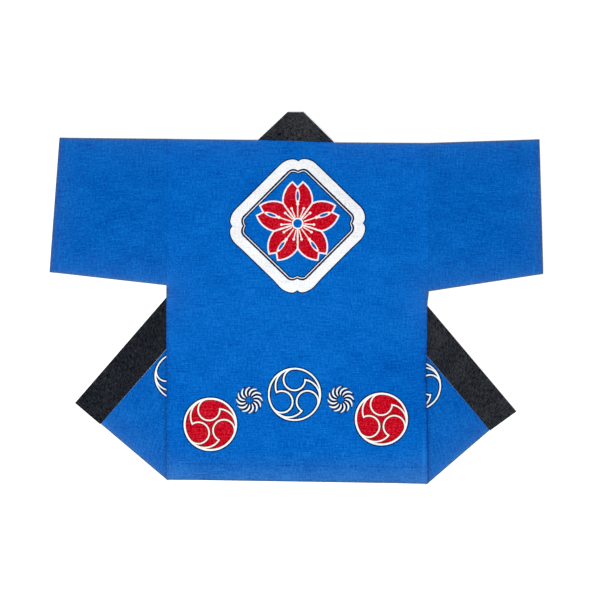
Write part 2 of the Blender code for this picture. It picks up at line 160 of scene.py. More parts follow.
BAND_ROUND = 0.0009
RIM_ANGLES = np.radians([45, 0, -45])

# ---- stitches ----
STITCH = 0.0026  # length of a stitch
STITCH_PITCH = 0.0036
THREAD = 0.00022  # radius of the thread
STITCH_INSET = 0.0018  # from the inner edge of a hem, or the edge of the band, to the stitches
FREE_INSET = 0.0030  # and from the free edge of the band
LINE_TRIM = 2  # points of a line of stitches that are left off at both ends
LINE_POINTS = 400  # along a front's hem
LINE_ENDS = (0.060, 0.002)  # its line starts this far before the corner, and stops this far before the side
SEAM_CLEAR = 0.001  # and it keeps this clear of the collar's seam
STITCH_SIDES = 5
STITCH_ARCH = (1.5, 0.9)  # rise of its middle over its ends, and depth of the ends in the cloth, in radii
STITCH_BLUNT = 1.02  # how blunt its ends are, just over 1


# ---- plane geometry ----
def unit(vector):
    return vector / np.linalg.norm(vector)


def left_of(vector):
    """The vector turned a quarter turn anticlockwise."""
    return np.array([-vector[1], vector[0]])


def crossing(p, q, r, s):
    """Where the line through p and q meets the line through r and s."""
    along, other = q - p, s - r
    share = np.dot(r - p, left_of(other)) / np.dot(along, left_of(other))
    return p + share * along


def beyond(points, p, q, side):
    """Distance of points from the line through p and q, positive on the side where the point `side` lies."""
    normal = left_of(unit(q - p))
    normal = normal * np.sign(np.dot(side - p, normal))
    return (points - p) @ normal


def ease(share):
    """0 below 0, 1 above 1, and a smooth S between them."""
    share = np.clip(share, 0.0, 1.0)
    return share * share * (3 - 2 * share)


def moved(p, q, away, towards):
    """The segment p q moved sideways by `away`, to the side where the point `towards` lies."""
    normal = left_of(unit(q - p))
    normal = normal * np.sign(np.dot(towards - p, normal))
    return [p + away * normal, q + away * normal]


def edge_bend(inside):
    """Quarter ellipse from 0 at EDGE inside an edge to 1 on it."""
    share = np.clip(1 - inside / EDGE, 0.0, 1.0)
    return 1 - np.sqrt(1 - share * share)


def fullness(inside):
    """How much of its loft the cloth has this far inside an edge."""
    return 1 - np.exp(-np.maximum(inside, 0.0) / LOFT_EDGE)


def hem_thickness(from_edge, depth):
    """Thickness of the cloth at distances from an edge that has a hem of this depth."""
    return HEM + (CLOTH - HEM) * ease((from_edge - depth) / HEM_STEP)


# ---- folding ----
class Fold:
    """A flat fold of the cloth round a roll along a line.

    Cut coordinates are places on the cloth before it is folded. They run along the line and across it:
    positive across for the upper layer, negative for the lower one, with the roll between them.
    """

    HALF = ROLL * math.pi / 2  # half the cloth that the roll takes up

    def __init__(self, start, end, cloth_side):
        self.start = start
        self.along = unit(end - start)
        self.across = left_of(self.along)
        if np.dot(cloth_side - start, self.across) < 0:
            self.across = -self.across

    def cut(self, points, layer):
        """Cut coordinates of laid points of the upper (layer 1) or lower (layer -1) layer."""
        offset = points - self.start
        away = offset @ self.across - ROLL + self.HALF
        return np.stack([offset @ self.along, layer * away], axis=-1)

    def lay(self, cut):
        """Laid points, and the share of the way up the roll: 0 for the lower layer, 1 for the upper one."""
        along, across = cut[..., 0], cut[..., 1]
        on_roll = np.abs(across) < self.HALF
        turned = np.clip(across / ROLL, -math.pi / 2, math.pi / 2)
        away = np.where(on_roll, ROLL * (1 - np.cos(turned)), ROLL + np.abs(across) - self.HALF)
        laid = self.start + along[..., None] * self.along + away[..., None] * self.across
        return laid, (1 + np.sin(turned)) / 2


class Lay:
    """One side of the coat: its landmarks as points, and the creases and heights worked out from them."""

    def __init__(self, side):
        self.sign = side.sign
        for name, place in side._asdict().items():
            if name != "sign":
                setattr(self, name, np.array(place))
        down = np.array([self.collar_top[0], 0.0])
        self.turn_free = crossing(self.band_foot, self.band_side, self.collar_top, down)
        crease_foot = self.hem - np.array([FOOT_WIDTH, 0.0])
        self.crease = Fold(crease_foot, self.turn_free, self.cuff_foot)
        self.turn_seam = crossing(self.seam_foot, self.seam_side, crease_foot, self.turn_free)
        self.neck_turn = Fold(self.neck, self.collar_top, self.turn_seam)
        self.shoulder_end = self.neck + np.array([NECK_GUSSET, 0.0])
        self.far_shoulder = self.shoulder * (-1, 1)
        self.roll_line = moved(self.crease.start, self.turn_free, ROLL, self.shoulder)

    def bow(self, points):
        """How far the side seam bows in from its straight line, most of it at the waist."""
        y = points[..., 1]
        most = sum(bell.share * np.exp(-(((y - bell.middle) / bell.spread) ** 2)) for bell in WAIST_BELLS)
        return self.waist * most * ease((self.armpit[1] - y) / WAIST_FADE)

    def inside_side(self, points):
        """Distance of points inside the side seam."""
        return -beyond(points, self.hem, self.armpit, self.cuff_foot) - self.bow(points)

    def side_seam(self):
        """Points along the side seam, from the hem to the armpit."""
        line = self.hem + np.linspace(0.0, 1.0, SIDE_POINTS)[:, None] * (self.armpit - self.hem)
        return line - self.bow(line)[:, None] * (1, 0)

    def under_front(self, points):
        """Height of the front's underside: over its turned-out part, and down to the table past it."""
        past = beyond(points, self.band_foot, self.band_side, self.shoulder)
        return FOLD_RISE * ease(1 - past / RAMP)

    def layer(self, points):
        """Height of the back's underside over the front's, and more of it over the collar band."""
        from_band = beyond(points, self.neck, self.turn_seam, self.shoulder)
        return LAYER + BAND_EXTRA * ease(1 - from_band / BAND_EASE)

    def under_back(self, points):
        """Height that this side gives the back's underside, which sinks to the table past the crease."""
        past_crease = beyond(points, self.crease.start, self.turn_free, self.far_shoulder)
        past_band = beyond(points, self.turn_free, self.collar_top, self.far_shoulder)
        inward = np.maximum(past_crease, past_band)
        return (self.under_front(points) + self.layer(points)) * ease(1 - inward / DRAPE)

    def seam_bend(self, points, thickness):
        """How far the back bends down, and the front up, to meet at the side seam and at the shoulder."""
        most = (self.layer(points) - SEAM_OPEN - SEAM_TILT * thickness) / 2
        at_side = edge_bend(self.inside_side(points))
        at_side = at_side * ease((self.armpit[1] - points[..., 1]) / EDGE_FADE)
        at_shoulder = edge_bend(beyond(points, self.shoulder, self.shoulder_end, self.hem))
        at_shoulder = at_shoulder * ease((points[..., 0] - self.shoulder_end[0]) / EDGE_FADE)
        return most * np.maximum(at_side, at_shoulder)

    def from_armhole(self, points):
        """Distance out from the armhole line, negative on the body."""
        return beyond(points, self.armpit, self.shoulder, self.cuff_foot)

    def armhole_dip(self, points):
        """How far the cloth dips into the armhole seam, above the armpit."""
        near = ease(1 - np.abs(self.from_armhole(points)) / ARMHOLE_EDGE)
        return ARMHOLE_DIP * near * ease((points[..., 1] - self.armpit[1]) / EDGE_FADE)

    def world(self, points, heights):
        return np.concatenate([points * (self.sign, 1), heights[..., None]], axis=-1)


sides = {name: Lay(side) for name, side in SIDES.items()}
left, right = sides["left"], sides["right"]


def from_outline(places):
    """Distance of places seen from above from the outline of the laid coat, without the hem of its back."""
    nearest = np.inf
    for lay in sides.values():
        chain = [(0.0, lay.collar_top[1]), lay.collar_top, lay.shoulder_end, lay.shoulder, lay.cuff_top]
        chain += [lay.cuff_foot, lay.armpit, lay.band_side, lay.band_foot, lay.seam_foot, lay.hem]
        for start, end in zip(chain, chain[1:]):
            run = np.subtract(end, start)
            offset = places * (lay.sign, 1) - start
            share = np.clip(offset @ run / (run @ run), 0.0, 1.0)
            nearest = np.minimum(nearest, np.linalg.norm(offset - share[..., None] * run, axis=-1))
    return nearest


# ---- relief ----
def swell(x, y, seed):
    """A smooth uneven swelling from 0 to 1: the sum of plane waves whose lengths, directions and starts are
    drawn once from the seed, each length weighted so that long waves count most."""
    draw = np.random.default_rng(seed)
    total, most = 0.0, 0.0
    for _ in range(SWELL_WAVES):
        length = draw.uniform(*SWELL_LENGTHS)
        direction, start = draw.uniform(0, 2 * math.pi, 2)
        share = length**SWELL_LONG
        phase = (x * math.cos(direction) + y * math.sin(direction)) * 2 * math.pi / length
        total = total + share * np.sin(phase + start)
        most += share
    return np.clip(0.5 + SWELL_SPREAD * total / most, 0, 1)


def pucker(distance, along, seed):
    """Ripple beside a line of stitches: a wave along it with an uneven beat, dying out with the distance."""
    most, pitches = PUCKER_DRIFT
    drift = most * np.sin(2 * math.pi * along / (pitches * PUCKER_PITCH) + seed)
    beat = 2 * math.pi * along / PUCKER_PITCH + drift
    return PUCKER * (0.5 + 0.5 * np.sin(beat)) * np.exp(-((distance / PUCKER_REACH) ** 2))


# Soft creases of the laid cloth as ridges: two ends, width and height, all in metres.
Ridge = namedtuple("Ridge", "x0 y0 x1 y1 width rise")
BACK_RIDGES = (
    Ridge(-0.047, -0.010, -0.041, -0.110, 0.010, 0.0005),
    Ridge(-0.132, 0.020, -0.052, 0.112, 0.016, 0.0004),
    Ridge(0.150, 0.230, 0.168, -0.060, 0.022, 0.0005),
    Ridge(0.262, 0.200, 0.250, 0.060, 0.012, 0.0004),
    Ridge(-0.236, -0.230, -0.090, -0.262, 0.018, 0.0004),
    Ridge(0.030, -0.140, 0.205, -0.160, 0.016, 0.0004),
    Ridge(-0.270, 0.300, -0.215, 0.090, 0.015, 0.0003),
    Ridge(0.090, -0.340, 0.270, -0.372, 0.014, 0.0003),
)
SLEEVE_RIDGES = (
    Ridge(0.338, 0.205, 0.334, 0.050, 0.008, 0.0007),
    Ridge(0.362, 0.180, 0.470, 0.075, 0.018, 0.0005),
    Ridge(0.395, 0.345, 0.556, 0.292, 0.016, 0.0004),
    Ridge(0.380, 0.262, 0.530, 0.240, 0.022, 0.0004),
    Ridge(0.505, 0.215, 0.566, 0.118, 0.014, 0.0004),
)


def ridges(x, y, table):
    """Height of the ridges: each a bell across its line, fading out towards both of its ends."""
    total = 0.0
    for ridge in table:
        start = np.array([ridge.x0, ridge.y0])
        run = np.array([ridge.x1, ridge.y1]) - start
        reach = np.linalg.norm(run)
        along = ((x - start[0]) * run[0] + (y - start[1]) * run[1]) / reach
        across = ((x - start[0]) * run[1] - (y - start[1]) * run[0]) / reach
        bend = across + RIDGE_BEND * reach * np.sin(math.pi * along / reach)
        fade = ease(along / (RIDGE_FADE * reach)) * ease((reach - along) / (RIDGE_FADE * reach))
        total = total + ridge.rise * fade * np.exp(-((bend / ridge.width) ** 2))
    return total


# ---- meshes ----
def marks(length, step, *fine):
    """Places from 0 to length, `step` apart, and closer round each (place, reach, step) in `fine`."""
    places = np.linspace(0, length, round(length / step) + 1)
    for at, reach, close in fine:
        places = places[np.abs(places - at) > reach + close]
        places = np.append(places, np.arange(at - reach, at + reach + close / 2, close))
    tight = min([step, *(close for _, _, close in fine)]) / 2
    places = np.sort(places[(places > tight) & (places < length - tight)])
    return np.concatenate([[0], places[np.diff(places, prepend=0) > tight * 0.9], [length]])


def normals_of(middle, ring):
    """Unit normals of a grid of points: the cross product of its two directions."""
    down = np.gradient(middle, axis=0)
    if ring:
        over = (np.roll(middle, -1, axis=1) - np.roll(middle, 1, axis=1)) / 2
    else:
        over = np.gradient(middle, axis=1)
    normal = np.cross(down, over)
    return normal / np.maximum(np.linalg.norm(normal, axis=-1), 1e-12)[..., None]


def grid_faces(rows, columns, ring):
    """Quads of a grid of points numbered row by row, closed round along its rows if it is a ring."""
    row, column = np.arange(rows - 1)[:, None], np.arange(columns if ring else columns - 1)
    beside = (column + 1) % columns
    below = (row + 1) * columns
    corners = [row * columns + column, below + column, below + beside, row * columns + beside]
    return np.stack(corners, axis=-1).reshape(-1, 4)


def border_loops(rows, columns, ring):
    """Closed loops of point numbers round the edge of a grid, with the grid's normal on their left."""
    numbers = np.arange(rows * columns).reshape(rows, columns)
    if ring:
        return [numbers[0, ::-1], numbers[-1]]
    return [np.concatenate([numbers[:-1, 0], numbers[-1, :-1], numbers[:0:-1, -1], numbers[0, :0:-1]])]


def placed(name, data):
    """A new object in the scene with this mesh, light or camera."""
    thing = bpy.data.objects.new(name, data)
    bpy.context.scene.collection.objects.link(thing)
    return thing


def rim(points, normal, half, loop, round_off):
    """The outward directions along a loop of edge points, and the rows of points that carry the edge of the
    wall from one skin to the other: a half ellipse as high as the wall and `round_off` deep."""
    run = points[np.roll(loop, -1)] - points[np.roll(loop, 1)]
    outward = np.cross(run, normal[loop])
    outward /= np.maximum(np.linalg.norm(outward, axis=1), 1e-12)[:, None]
    turned = []
    for angle in RIM_ANGLES:
        inset = round_off * (math.cos(angle) - 1) * outward
        turned.append(points[loop] + inset + math.sin(angle) * half[loop] * normal[loop])
    return outward, turned


def shell(name, middle, thickness, threads, materials, round_off, slots=None, ring=False):
    """A closed wall of cloth: the grid of middle points moved out and in along its normals by half the
    thickness, with a rounded rim between the two skins.

    threads is the same grid on the flat cloth, in metres, which goes into the UV map that the weave follows.
    slots gives the material number of each quad of the right side; the wrong side has the last material.
    """
    rows, columns = middle.shape[:2]
    flat_columns = threads.shape[1]
    normal = normals_of(middle, ring).reshape(-1, 3)
    points = middle.reshape(-1, 3)
    half = (np.broadcast_to(thickness, (rows, columns)) / 2).reshape(-1, 1)
    right_skin, wrong_skin = points + half * normal, points - half * normal
    rims, strips, strip_grids = [], [], []
    count = 2 * len(points)
    for loop in border_loops(rows, columns, ring):
        outward, turned = rim(points, normal, half, loop, round_off)
        right_skin[loop] -= round_off * outward
        wrong_skin[loop] -= round_off * outward
        rims += turned
        fresh = count + np.arange(len(turned) * len(loop)).reshape(len(turned), -1)
        count += fresh.size
        numbers = [loop, *fresh, loop + len(points)]
        for upper, lower in zip(numbers, numbers[1:]):
            strips.append(np.stack([upper, lower, np.roll(lower, -1), np.roll(upper, -1)], axis=-1))
            strip_grids.append(np.stack([loop, loop, np.roll(loop, -1), np.roll(loop, -1)], axis=-1))
    quads = grid_faces(rows, columns, ring)
    flat_quads = grid_faces(rows, flat_columns, False)
    flat_number = (np.arange(rows)[:, None] * flat_columns + np.arange(columns)).ravel()
    faces = np.concatenate([quads, quads[:, ::-1] + len(points), *strips])
    flats = np.concatenate([flat_quads, flat_quads[:, ::-1], *(flat_number[grid] for grid in strip_grids)])
    chosen = np.zeros(len(faces), np.int32)
    if slots is not None:
        chosen[: len(quads)] = slots.ravel()
    chosen[len(quads) : 2 * len(quads)] = len(materials) - 1
    places = np.concatenate([right_skin, wrong_skin, *rims])
    places[:, 2] = np.maximum(places[:, 2], 0.0)
    return cloth_piece(name, places, faces, threads.reshape(-1, 2)[flats.ravel()], materials, chosen)


def cloth_piece(name, places, faces, threads, materials, chosen):
    """A mesh whose UV map is the threads' places; each point has its distance from the coat's outline."""
    mesh = bpy.data.meshes.new(name)
    mesh.from_pydata(places.tolist(), [], faces.tolist())
    layer = mesh.uv_layers.new(name="threads")
    layer.uv.foreach_set("vector", threads.astype(np.float32).ravel())
    for material in materials:
        mesh.materials.append(material)
    mesh.polygons.foreach_set("material_index", chosen)
    inward = mesh.attributes.new("from_outline", "FLOAT", "POINT")
    inward.data.foreach_set("value", from_outline(places[:, :2]).astype(np.float32))
    mesh.shade_smooth()
    mesh.update()
    return placed(name, mesh)


def area_of(middle, ring=False):
    """Area of a grid of points, from the two triangles of each of its quads."""
    if ring:
        middle = np.concatenate([middle, middle[:, :1]], axis=1)
    a, b, c, d = middle[:-1, :-1], middle[1:, :-1], middle[1:, 1:], middle[:-1, 1:]
    first, second = (np.linalg.norm(np.cross(p - a, q - a), axis=-1) for p, q in ((b, c), (c, d)))
    return float((first + second).sum() / 2)


def stitches(name, lines, material):
    """Running stitches along lines of (points, normals), as one mesh.

    Each stitch is a short thread, thin at both ends: rings of points round its run, which rises out of the
    cloth at one end and sinks into it at the other along a low arch.
    """
    starts, runs, ups = [], [], []
    for points, normals in lines:
        steps = np.linalg.norm(np.diff(points, axis=0), axis=1)
        travelled = np.concatenate([[0], np.cumsum(steps)])
        at = np.arange(STITCH_PITCH / 2, travelled[-1] - STITCH, STITCH_PITCH)
        first, last, up = (
            np.stack([np.interp(s, travelled, values[:, k]) for k in range(3)], axis=1)
            for s, values in ((at, points), (at + STITCH, points), (at + STITCH / 2, normals))
        )
        starts.append(first)
        runs.append(last - first)
        ups.append(up / np.linalg.norm(up, axis=1)[:, None])
    start, run, up = (np.concatenate(values)[:, None, None] for values in (starts, runs, ups))
    side = np.cross(run, up)
    side = side / np.linalg.norm(side, axis=-1)[..., None]
    share = np.linspace(0, 1, 4)[:, None, None]
    girth = THREAD * np.sqrt(np.clip(STITCH_BLUNT - (2 * share - 1) ** 4, 0, 1))
    arch = THREAD * (STITCH_ARCH[0] * np.sin(math.pi * share) - STITCH_ARCH[1])
    turn = (np.arange(STITCH_SIDES) * 2 * math.pi / STITCH_SIDES)[None, :, None]
    places = start + share * run + (arch + girth * np.sin(turn)) * up + girth * np.cos(turn) * side
    places[..., 2] = np.maximum(places[..., 2], 0.0)
    rings = len(share)
    wall = grid_faces(rings, STITCH_SIDES, True)
    ends = [np.arange(STITCH_SIDES), (rings - 1) * STITCH_SIDES + np.arange(STITCH_SIDES)[::-1]]
    bases = np.arange(len(places)) * rings * STITCH_SIDES
    faces = (wall[None] + bases[:, None, None]).reshape(-1, 4).tolist()
    faces += (np.stack(ends)[None] + bases[:, None, None]).reshape(-1, STITCH_SIDES).tolist()
    mesh = bpy.data.meshes.new(name)
    mesh.from_pydata(places.reshape(-1, 3).tolist(), [], faces)
    mesh.materials.append(material)
    mesh.shade_smooth()
    return placed(name, mesh)


# ---- shader maths ----
class Value:
    """An output socket in a material's node tree. Arithmetic on it adds Math nodes."""

    def __init__(self, tree, socket):
        self.tree = tree
        self.socket = socket

    def node(self, kind, settings, sockets, output=0):
        return add_node(self.tree, kind, settings, sockets, output)

    def math(self, operation, *others):
        return self.node("ShaderNodeMath", {"operation": operation}, dict(enumerate([self, *others])))

    def vector(self, operation, sockets):
        return self.node("ShaderNodeVectorMath", {"operation": operation}, sockets)

    def __add__(self, other):
        return self.math("ADD", other)

    __radd__ = __add__

    def __mul__(self, other):
        return self.math("MULTIPLY", other)

    __rmul__ = __mul__

    def __sub__(self, other):
        return self.math("SUBTRACT", other)

    def __rsub__(self, other):
        return self.node("ShaderNodeMath", {"operation": "SUBTRACT"}, {0: other, 1: self})

    def __truediv__(self, other):
        return self.math("DIVIDE", other)

    def __neg__(self):
        return self * -1

    def __abs__(self):
        return self.math("ABSOLUTE")


def add_node(tree, kind, settings, sockets, output=0):
    """Adds a node with its settings, then the numbers, colours or links of its input sockets."""
    node = tree.nodes.new(kind)
    for name, value in settings.items():
        setattr(node, name, value)
    for name, value in sockets.items():
        if isinstance(value, Value):
            tree.links.new(value.socket, node.inputs[name])
        else:
            node.inputs[name].default_value = value
    return Value(tree, node.outputs[output])


def sine(value):
    return value.math("SINE")


def cosine(value):
    return value.math("COSINE")


def lower(value, other):
    return value.math("MINIMUM", other)


def higher(value, other):
    return value.math("MAXIMUM", other)


def above(value, limit):
    """1 where the value is over the limit, 0 elsewhere."""
    return value.math("GREATER_THAN", limit)


def distance(x, y):
    return (x * x + y * y).math("SQRT")


def bell(off):
    """1 where off is 0, falling off smoothly to both sides of it: e to the power of -off squared."""
    return (off * -off).math("EXPONENT")


def dying(away, reach):
    """1 at no distance, dying away over this reach."""
    return (away * (-1 / reach)).math("EXPONENT")


def folded(angle, parts):
    """An angle brought into the one of `parts` equal sectors that lies on both sides of 0."""
    return angle.math("WRAP", math.pi / parts, -math.pi / parts)


def filled(field):
    """1 inside a printed shape and 0 outside, from its signed distance, over the soft edge of a print."""
    return held_in(0.5 - field / SOFT_PRINT)


def held_in(value):
    """A value held between 0 and 1."""
    return value.node("ShaderNodeClamp", {}, {"Value": value})


def blend(factor, first, second):
    """A colour between two, by a Mix node."""
    anchor = factor if isinstance(factor, Value) else first
    settings = {"data_type": "RGBA"}
    return anchor.node("ShaderNodeMix", settings, {0: factor, 6: first, 7: second}, output=2)


def srgb(red, green, blue):
    """A linear colour from 0 to 255 display values."""
    shares = (value / 255 for value in (red, green, blue))
    return tuple(((s + 0.055) / 1.055) ** 2.4 if s > 0.04045 else s / 12.92 for s in shares) + (1.0,)


# ---- dyes and prints ----
BODY_BLUE = srgb(2, 97, 188)
# the body's cotton a little darker on the sleeves: painted shade
SHADED_SLEEVE_BLUE = srgb(2, 94, 182)
FLAP_BLUE = srgb(6, 95, 182)
WRONG_BLUE = srgb(36, 104, 180)
THREAD_BLUE = srgb(6, 86, 176)
HEM_BLUE = srgb(45, 110, 186)
BLACK = srgb(24, 28, 34)
# painted sheen on the collar band: the paler black it turns to towards the neck and the right
SHEEN_BLACK = srgb(44, 46, 50)
# grey blue of painted shade, blended in at the very rim and beside the side seams
SHADE_GREY_BLUE = srgb(58, 84, 106)
WHITE = srgb(238, 240, 243)
ICE = srgb(241, 248, 253)
CREAM = srgb(255, 240, 232)
RED = srgb(203, 8, 38)
DEEP_RED = srgb(158, 6, 28)
DARK_RED = srgb(96, 10, 20)
NAVY = srgb(6, 22, 66)
PURE_WHITE = (1.0, 1.0, 1.0, 1.0)
BOARD_WHITE = (0.985, 0.985, 0.985)
BOARD_CLOUD = (90.0, 90.0, 3.0)
BOARD_GLOW = 0.3
SKY_LIGHT = 0.38
PLY_PITCH = 0.55  # mm from one turn of a sewing thread to the next

PALER = (0.026, 0.13, 0.12)  # what a thread with no dye adds to red, green and blue
PALE_BLACK = (0.012, 0.011, 0.012)
DARKEST = (0.0002, 0.0002, 0.0002)

# Patches painted paler (or deeper, below 0), in mm from the middle of the coat: a broad pool of painted
# light over the middle of the back, a darker patch on the right of the back, and a narrow painted highlight
# beside the right side seam over the hem.
Fade = namedtuple("Fade", "x y wide high amount")
LIGHT_AND_TONE_PATCHES = (
    Fade(20.0, -70.0, 330.0, 270.0, 0.055),
    Fade(262.0, -190.0, 150.0, 62.0, -0.07),
    Fade(306.0, -374.0, 4.4, 56.0, 0.19),
)

# Noises, each as mm across, mm along and detail, and what each is worth in the shade of the cloth.
WEFT_SLUB, WARP_SLUB, GRAIN, CLOUD = (42.0, 1.5), (1.4, 26.0), (5.0, 4.4, 1.0), (80.0, 60.0, 3.0)
WEFT_WEIGHT = 1.2  # of the weft's slubs against the warp's
SLUB_SHADE, GRAIN_SHADE, CLOUD_SHADE, PILLOW_SHADE = 0.40, 0.41, 0.18, 0.085
SHADE_BACK = 0.025  # taken off the sum, which keeps the average colour that of the dye
THREAD_PITCH = 1.1  # mm from one thread of the weave to the next
PILLOW_HEIGHT, SLUB_HEIGHT = 0.06, 0.12  # mm
ROUGH, PILLOW_SMOOTH = 0.88, 0.04
SOFT_PRINT = 0.7  # mm over which the edge of a print soaks out
FRAY = 0.5  # mm by which that edge follows the threads
PRINT_HIDES, PRINT_FILLS = 0.25, 0.45  # how much of the threads' shade, and of their height
PRINT_HEIGHT = 0.04  # mm
PRINT_SMOOTH = 0.16
RED_SINKS = (2.2, 0.66)  # how fast the fraying turns the red deep, and where it begins

# Painted light and shade at the outline and beside the side seams, and the darker cuff hems: how far in mm
# each reaches, and how much of it there is.
RIM_SHADE, RIM_SHADE_SPREAD = 0.7, 11.5  # painted shade at the very rim, darker and greyer; its spread is in square mm
# A glow of light painted along the outline: close to the rim, and reaching further in, paler on the lower
# edges.
RIM_GLOW, RIM_GLOW_REACH = 0.020, 5.3
EDGE_GLOW, EDGE_GLOW_REACH = 0.0105, 34.0
EDGE_GLOW_RISE = (1.06, 0.0011)  # the painted glow is this strong at the middle, and weaker for each mm up: painted light on the lower edges
GLOW_TINT = (1.0, 1.25, 1.0)
# how much darker the sleeve is over its cuff's hem
CUFF_DEEPER = 0.08
# Painted shade beside the back's side seams: how much darker, how much greyer, over how many mm it dies
# away, and below what height it stops and over what height.
SIDE_SHADE_DEPTH, SIDE_SHADE_GREY, SIDE_REACH = 0.14, 0.16, 4.2
SIDE_TOP, SIDE_TOP_FADE = 30.0, 15.0

# The side seams, beside which shade is painted, as a pair of lines, in mm: their foot, the place of their
# middle, half their distance, and how much the last two grow for each mm up. Only the right one bows: half
# of its bow moves the middle, and half comes off the distance. The bow is two bells: how far below the
# coat's middle, spread and half height.
SIDE_FOOT = 446.0
SIDE_MIDDLE, SIDE_LEAN = 1.8, 0.0012
SIDE_HALF, SIDE_WIDENING = 313.2, 0.0015
SIDE_BOWS = ((190.0, 120.0, 2.9), (20.0, 60.0, 1.3))

# The hem of the back, in mm: its line, the dark along its stitches, and where the cloth turns paler and
# greyer towards the hem.
HEM_LINE, HEM_LEAN = 441.1, 0.0158
HEM_MARK = (1.0, 2.4, 0.09)  # how far inside the turned-in edge, how wide and how dark
HEM_FADE = (345.0, 96.0, 2.1)  # how far down it starts, over what height, and the power it grows with

# The band's ribbed cotton, in mm, with the same shares as the blue one has.
RIB_PITCH = 2.1
RIB_THREADS = (0.8, 1.05)
BAND_SLUBS = ((1.8, 11.0), (8.0, 2.2))
BAND_CLOUD = (60.0, 60.0, 3.0)
BAND_SLUB_SHADE, BAND_CLOUD_SHADE, RIB_SHADE, BAND_SHADE_BACK = 2.5, 0.6, 0.7, 0.33
RIB_HEIGHT, RIB_THREAD_HEIGHT, BAND_SLUB_HEIGHT = 0.07, 0.03, 0.08
BAND_ROUGH, RIB_SMOOTH = 0.82, 0.08
NECK_SHEEN = (330.0, 80.0)  # painted sheen, paler from this height up, and wholly so this much higher
RIGHT_SHEEN = (1300.0, 0.05)  # and towards the right: over what width, and how much at the middle already

# The crest on the back: a diamond with a two-lobed notch at each corner, in mm from its centre.
CREST = (3.2, 175.3)
FRAME_REACH = 135.1  # from the centre to the inside of the band, at a corner
FRAME_ROUND = 17.9
FRAME_LOBE = 12.1  # half the distance between a corner's two lobes
FRAME_SQUEEZE = 1.013  # the diamond is this much wider than high
FRAME_LEAN = (0.0086, 0.0248)  # printed this much out of true: across for each mm up, up for each mm across
FRAME_BAND = 24.2
FRAME_HEAVY = (1.9, 0.019)  # the band is this much wider at the corners, and more for each mm down
FRAME_HEAVY_REACH = 45.0
NOTCH_DIP = (0.022, 0.0004)  # how fast a notch deepens from its lobes, and more for each mm out
OUTER_LINES = ((FRAME_BAND + 3.0, NAVY), (FRAME_BAND, WHITE))
INNER_LINES = ((0.4, NAVY), (-4.1, WHITE), (-6.0, NAVY))
FRAME_INSIDE = -9.0

# The blossom in it: notched petals, each the lens between two circles, in mm along and across the petal.
BLOSSOM_RAISED = 3.0
PETALS = 5
PETAL_ROUND = 53.0
PETAL_MIDDLE = 54.7
PETAL_NARROW = 19.6
PETAL_NOTCH = 84.0
PETAL_GAP = 1.9
PETAL_LINE = 3.8
VEIN = (66.0, 11.0, 3.2)  # middle, half length and half width of the slit in a petal
EYE, EYE_LINE = 10.5, 3.6
Stamen = namedtuple("Stamen", "degrees middle half tip dot")
STAMENS = (Stamen(0.0, 30.0, 14.0, 47.0, 3.6), Stamen(22.0, 26.0, 10.0, 39.0, 3.0))
STAMEN_WIDTH = 1.3

# The roundels: three commas in a ring. Radii and distances are of the middles of the white lines, in mm.
RING = 61.9
COMMAS = 3
HEAD_PLACE, HEAD = 35.6, 26.0
TAIL_PLACE, TAIL = 20.3, 41.1
TAIL_TURN = math.radians(107)  # from the head's direction to where the tail closes
LINE = 3.7
RING_LINE = 3.8
RED_RING_LINE = 4.7
OUTLINE = 3.1
THIN_OUTLINE = 1.8  # on red
RED_OVER = 1.5  # the red reaches this far past the middle of the ring's line

Roundel = namedtuple("Roundel", "x y turn red scale")
BORDER_ROUNDELS = (
    Roundel(-206.1, -303.4, -5.4, 1.0, 0.995),
    Roundel(-4.3, -231.5, -0.5, 0.0, 0.998),
    Roundel(204.0, -290.7, -0.6, 1.0, 0.986),
)
FLAP_ROUNDELS = (Roundel(-283.3, -187.9, 50.4, 0.0, 0.89), Roundel(288.4, -210.7, -33.1, 0.0, 0.922))

# The rosettes: twelve blades round a hole, swept clockwise, in mm and degrees.
Rosette = namedtuple("Rosette", "x y turn")
ROSETTES = (Rosette(-112.5, -245.4, -2.1), Rosette(106.4, -244.1, -4.6))
BLADES = 12
ROSETTE_HOLE, ROSETTE_REACH = 10.0, 31.8
BLADE_SWEEP = 35.4
BLADE_WIDTH = (0.8, 2.8)  # half a blade's width at the hole, and how much more at its tip
BLADE_BEND = 2.1  # the power that the sweep grows with
BLADE_LINE = 4.0
BLADE_LINE_REACH = 0.66  # less than 1, so that the line goes on round the tips
BLADE_EDGE = 2.5  # mm for each unit of a blade's field


def noise(places, across, along, detail=2.0):
    """Noise from 0 to 1 with grains this many mm across and along."""
    scaled = places.vector("MULTIPLY", {0: places, 1: (1 / across, 1 / along, 0)})
    settings = {"noise_dimensions": "2D"}
    return places.node("ShaderNodeTexNoise", settings, {"Vector": scaled, "Scale": 1.0, "Detail": detail})


def parts_of(places):
    return tuple(places.node("ShaderNodeSeparateXYZ", {}, {0: places}, output=k) for k in range(2))


def in_mm(places):
    return places.vector("MULTIPLY", {0: places, 1: (1000.0, 1000.0, 1000.0)})


def pick(values, gates):
    """The first value, or the next one past each gate that is open."""
    chosen = values[0]
    for gate, before, after in zip(gates, values, values[1:]):
        chosen = gate * (after - before) + chosen
    return chosen


def painted(cloth, coats):
    """The cloth with coats of (mask, colour) laid over each other."""
    for mask, colour in coats:
        cloth = blend(mask, cloth, colour)
    return cloth


def worn_red(fray):
    """The red of the prints, deeper where the paint sank between the threads."""
    return blend(held_in(fray * RED_SINKS[0] + RED_SINKS[1]), DEEP_RED, RED)


